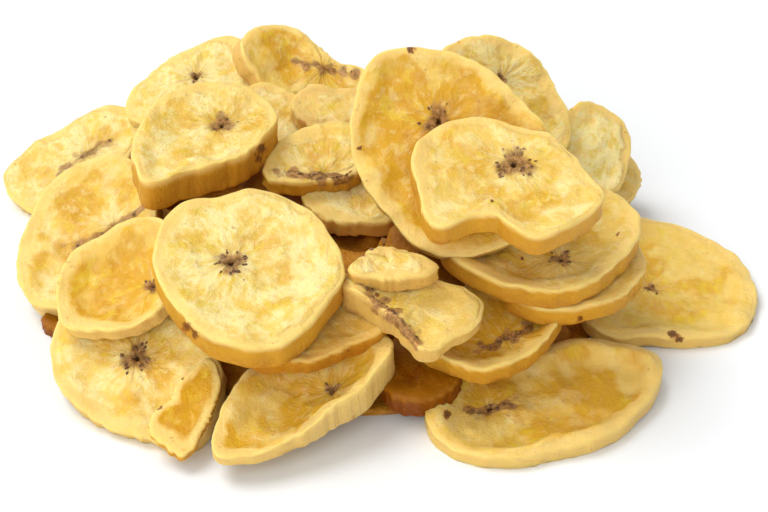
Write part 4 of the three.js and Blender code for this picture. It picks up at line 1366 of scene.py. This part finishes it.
def chip_finish():
    """Cream under a pale rim, soft zones of glassy gold, clumps and flecks of chalk, and brown pulp round
    the seeds."""
    sh = Shader("dried_banana")
    a, b, along = sh.carried("flat")
    near_seed, mark, painted_shade = sh.carried("spots_and_shade")
    pulp_at, arm, pale_and_lit_wall = sh.carried("tissue")
    # Mood is partly painted light and shade: some slices are set chalkier, and so paler, for more light, and
    # some tanner for less.
    chalky, glassy, tanned = sh.carried("mood")
    place = sh.millimetres()
    level = sh.node("ShaderNodeCombineXYZ", {}, {0: a, 1: b, 2: 0.0})
    away = sh.vector("LENGTH", {0: level}, 1)
    turn = sh.vector("NORMALIZE", {0: level})

    def rays_out(spin, step):
        """Places for streaks from the pith: the direction, spin times as far, and step times the distance.
        The first two numbers also shift with the mood, so slices of another mood have other streaks."""
        stretched = sh.vector("SCALE", {0: turn, 3: spin})
        outward = sh.node("ShaderNodeCombineXYZ", {}, {0: 7.0 * chalky, 1: 5.0 * glassy, 2: step * away})
        return sh.vector("ADD", {0: stretched, 1: outward})

    sector = sh.noise(rays_out(1.1, 0.13), 1.0, 2.0, 0.45)
    petal = sh.noise(rays_out(3.2, 0.3), 1.0, 4.0, 0.55)
    cloud = sh.noise(place, 7.0, 2.0, 0.45)
    lump = sh.noise(place, 4.2, 3.0, 0.5)
    grain = sh.noise(place, 1.0, 4.0, 0.6)
    crumb = sh.noise(rays_out(5.0, 0.42), 1.0, 4.0, 0.62)
    fine = sh.noise(place, 0.4, 2.0, 0.5)

    # Zones along the section: the face inside its rim band, the side wall and its foot.
    inside = 1 - sh.rise(along + 0.8 * (sector - 0.5) + 0.5 * (lump - 0.5), 0.7, 0.92)
    wall = sh.rise(along, 1.02, 1.32)
    foot = sh.rise(along, 1.3, 2.0)

    # The face: glassy gold and clumps of chalk on cream, then yellow patches, and flecks along the fibres.
    body = sh.mix(tanned * 0.45, CREAM, TAN)
    zone = 0.5 * sector + 0.5 * cloud + 0.3 * (glassy - 0.5) + 0.1 * (0.5 - along)
    glass = sh.rise(zone + 0.25 * (petal - 0.5), 0.45, 0.58) * inside
    body = sh.mix(glass * (0.62 + 0.3 * glassy), body, sh.mix(sh.rise(lump, 0.48, 0.62) * 0.7, GOLD, AMBER))
    clump = 0.5 * petal + 0.5 * lump
    chalk = sh.rise(clump + 0.24 * (chalky - 0.5), 0.47, 0.63) * inside * (1 - 0.7 * glass)
    body = sh.mix(chalk * (0.4 + 0.6 * chalky), body, CHALK)
    fresh = sh.rise(petal, 0.51, 0.62) * sh.rise(cloud, 0.42, 0.56) * inside
    body = sh.mix(fresh * 0.6, body, LEMON)
    body = sh.mix(sh.rise(crumb, 0.54, 0.62) * inside * (0.05 + 0.5 * chalky), body, CHALK)
    sunk = (1 - sh.rise(crumb, 0.38, 0.47)) * inside
    body = sh.mix(sunk * (0.15 + 0.35 * chalky), body, sh.mix(glassy, LEMON, GOLD))

    # The rim band, the wall with its rust, and the thin walls of tissue.
    band = 1 - inside
    body = sh.mix(band * (0.3 + 0.7 * cloud), body, sh.mix(tanned * 0.7, RIM, TAN))
    side = sh.mix(sh.rise(cloud, 0.38, 0.64) * 0.5 + foot * 0.5, WALL_GOLD, WALL_DEEP)
    # Paler side walls are partly the slice's own tone and partly painted light.
    side = sh.mix(pale_and_lit_wall * 0.75, side, RIM)
    body = sh.mix(wall * 0.9, body, side)
    rust = sh.rise(along, 1.7, 1.95) * sh.rise(lump, 0.5, 0.62)
    body = sh.mix(rust * 0.4, body, RUST)
    body = sh.mix(sh.rise(grain, 0.66, 0.74) * wall * 0.45, body, RUST)
    body = sh.mix(arm * 0.6, body, TAN)

    # Brown pulp round the seeds, the pit in the pith, brown marks, and painted shade where a slice lies in a
    # gap.
    ragged = 1.1 * (grain - 0.5) + 0.8 * (petal - 0.5)
    pulp = sh.rise(pulp_at + 0.5 * near_seed * pulp_at + ragged, 0.12, 0.7)
    body = sh.mix(pulp * 0.85, body, sh.mix(sh.rise(grain, 0.42, 0.6), PULP_DARK, PULP))
    pit = (1 - sh.rise(away + grain - 0.5, 0.3, 0.9)) * sh.rise(pulp_at, 0.9, 0.98)
    body = sh.mix(pit * 0.9, body, SPECK)
    scar = sh.rise(mark + 1.5 * (grain - 0.5) + 0.8 * (lump - 0.5), 0.25, 0.6)
    body = sh.mix(scar * 0.9, body, sh.mix(sh.rise(mark + grain - 0.5, 0.4, 1.0), RUST, SPECK))
    body = sh.mix(sh.rise(grain, 0.6, 0.75) * 0.08, body, WALL_DEEP)
    # Painted shade: the colour is multiplied towards deep amber by the share of painted shade that the points
    # carry.
    multiply = {"data_type": "RGBA", "blend_type": "MULTIPLY"}
    painted_shade_sockets = {0: sh.rise(painted_shade, 0.0, 0.6), 6: body, 7: sh.mix(painted_shade, SHADE, PAINTED_SHADE_DARK)}
    body = sh.node("ShaderNodeMix", multiply, painted_shade_sockets, 2)

    # Glassy places shine more than chalky ones, and the bump follows grain, flecks, clumps and streaks.
    rough = 0.38 - 0.14 * glass + 0.14 * chalk + 0.2 * (grain - 0.5)
    streaks = petal * inside * (1 - sh.rise(away, 3.0, 9.0))
    bump = grain * 0.3 + fine * 0.12 + (crumb * chalky + clump * 0.5) * inside
    bump = bump + streaks * (0.1 + 0.5 * chalky) + petal * wall * 0.8
    constants = {"Subsurface Weight": 0.55, "Subsurface Radius": (1.0, 0.62, 0.15),
                 "Subsurface Scale": GLOW_DEEP, "IOR": 1.44, "Specular IOR Level": 0.24}
    return sh.finish(body, rough, bump, RELIEF_DEEP, **constants)


chip_material = chip_finish()
for obj in chips:
    obj.data.materials.append(chip_material)
print("the slices' finish has", len(chip_material.node_tree.nodes), "nodes")

# %% Seeds and core
SEED_DEEP = 0.0001
CORE_DEEP = 0.0004


def seed_finish():
    """Dark brown seeds, some of them lighter."""
    sh = Shader("seed")
    place = sh.millimetres()
    cloud = sh.noise(place, 1.6, 2.0)
    body = sh.mix(sh.rise(cloud, 0.45, 0.7), SEED_DARK, SEED_LIGHT)
    return sh.finish(body, 0.7 + 0.1 * cloud, cloud, SEED_DEEP)


def core_finish():
    """Painted shade: deep amber brown, as banana looks where little light reaches it."""
    sh = Shader("core_shadow")
    place = sh.millimetres()
    cloud = sh.noise(place, 4.0, 3.0)
    grain = sh.noise(place, 0.8, 3.0)
    body = sh.mix(sh.rise(cloud, 0.3, 0.7), CORE_SHADE_PALE, CORE_SHADE_DARK)
    return sh.finish(body, 0.5 + 0.2 * grain, grain + cloud, CORE_DEEP)


seeds.data.materials.append(seed_finish())
core.data.materials.append(core_finish())
print("finishes:", [material.name for material in bpy.data.materials])

# %% [markdown]
# ## Table, light and camera
#
# The slices lie on a plain white surface under soft light that comes from behind on the left, so their
# shadows fall towards the viewer and to the right. One wide distant light gives that, a weaker one from the
# front lights the side walls, the pale room around fills the shadows, and the camera looks along the line
# that the slices were laid by.

# %% Table, light and camera
TABLE_HALF = 1.5  # metres
TABLE_DARKER = (0.87, 0.9, 0.94, 1)
TABLE_LIGHTER = (0.89, 0.92, 0.96, 1)
TABLE_DEEP = 0.00001
ROOM_TINT, ROOM_STRENGTH = (1, 0.99, 0.96, 1), 0.52
STAND = (EYE + SHIFT - [0, 0, SINK]) * MM  # the camera moves with the heap, and down as far as it sank


def table():
    """A square of plain white, a little uneven in colour."""
    half = TABLE_HALF
    mesh = bpy.data.meshes.new("table_top")
    corners = [(-half, -half, 0), (half, -half, 0), (half, half, 0), (-half, half, 0)]
    mesh.from_pydata(corners, [], [(0, 1, 2, 3)])
    obj = linked("table_top", mesh)
    sh = Shader("white_table")
    place = sh.node("ShaderNodeTexCoord", {}, {}, 3)
    cloud = sh.noise(place, 0.3, 2.0)
    body = sh.mix(cloud, TABLE_DARKER, TABLE_LIGHTER)
    obj.data.materials.append(sh.finish(body, 0.7 + 0.05 * cloud, cloud, TABLE_DEEP))


def window(name, place, width, strength, tint):
    """Light of even strength from one direction, as wide as this many degrees of the sky."""
    data = bpy.data.lights.new(name, "SUN")
    data.angle = math.radians(width)
    data.energy = strength
    data.color = tint
    obj = linked(name, data)
    obj.location = place
    obj.rotation_euler = Vector(-np.array(place)).to_track_quat("-Z", "Y").to_euler()


def camera():
    """Looks level across the table's x and down by the elevation, through the lens that the rays have."""
    data = bpy.data.cameras.new("camera")
    data.lens = FOCAL
    data.sensor_width = SENSOR
    data.sensor_fit = "HORIZONTAL"
    data.clip_start = 0.01
    obj = linked("camera", data)
    obj.location = STAND
    obj.rotation_euler = (math.pi / 2 - ELEVATION, 0, 0)
    bpy.context.scene.camera = obj


table()
window("window_light", (-0.45, 0.2, 0.86), 36, 1.75, (1.0, 0.99, 0.97))
window("room_light", (-0.4, -0.75, 0.5), 60, 1.35, (1.0, 0.985, 0.94))
camera()
world = bpy.data.worlds.new("pale_room")
world.use_nodes = True
background = world.node_tree.nodes["Background"]
background.inputs["Color"].default_value = ROOM_TINT
background.inputs["Strength"].default_value = ROOM_STRENGTH
bpy.context.scene.world = world
bpy.context.scene.view_settings.view_transform = "Standard"
print("the camera stands at", np.round(STAND, 3))
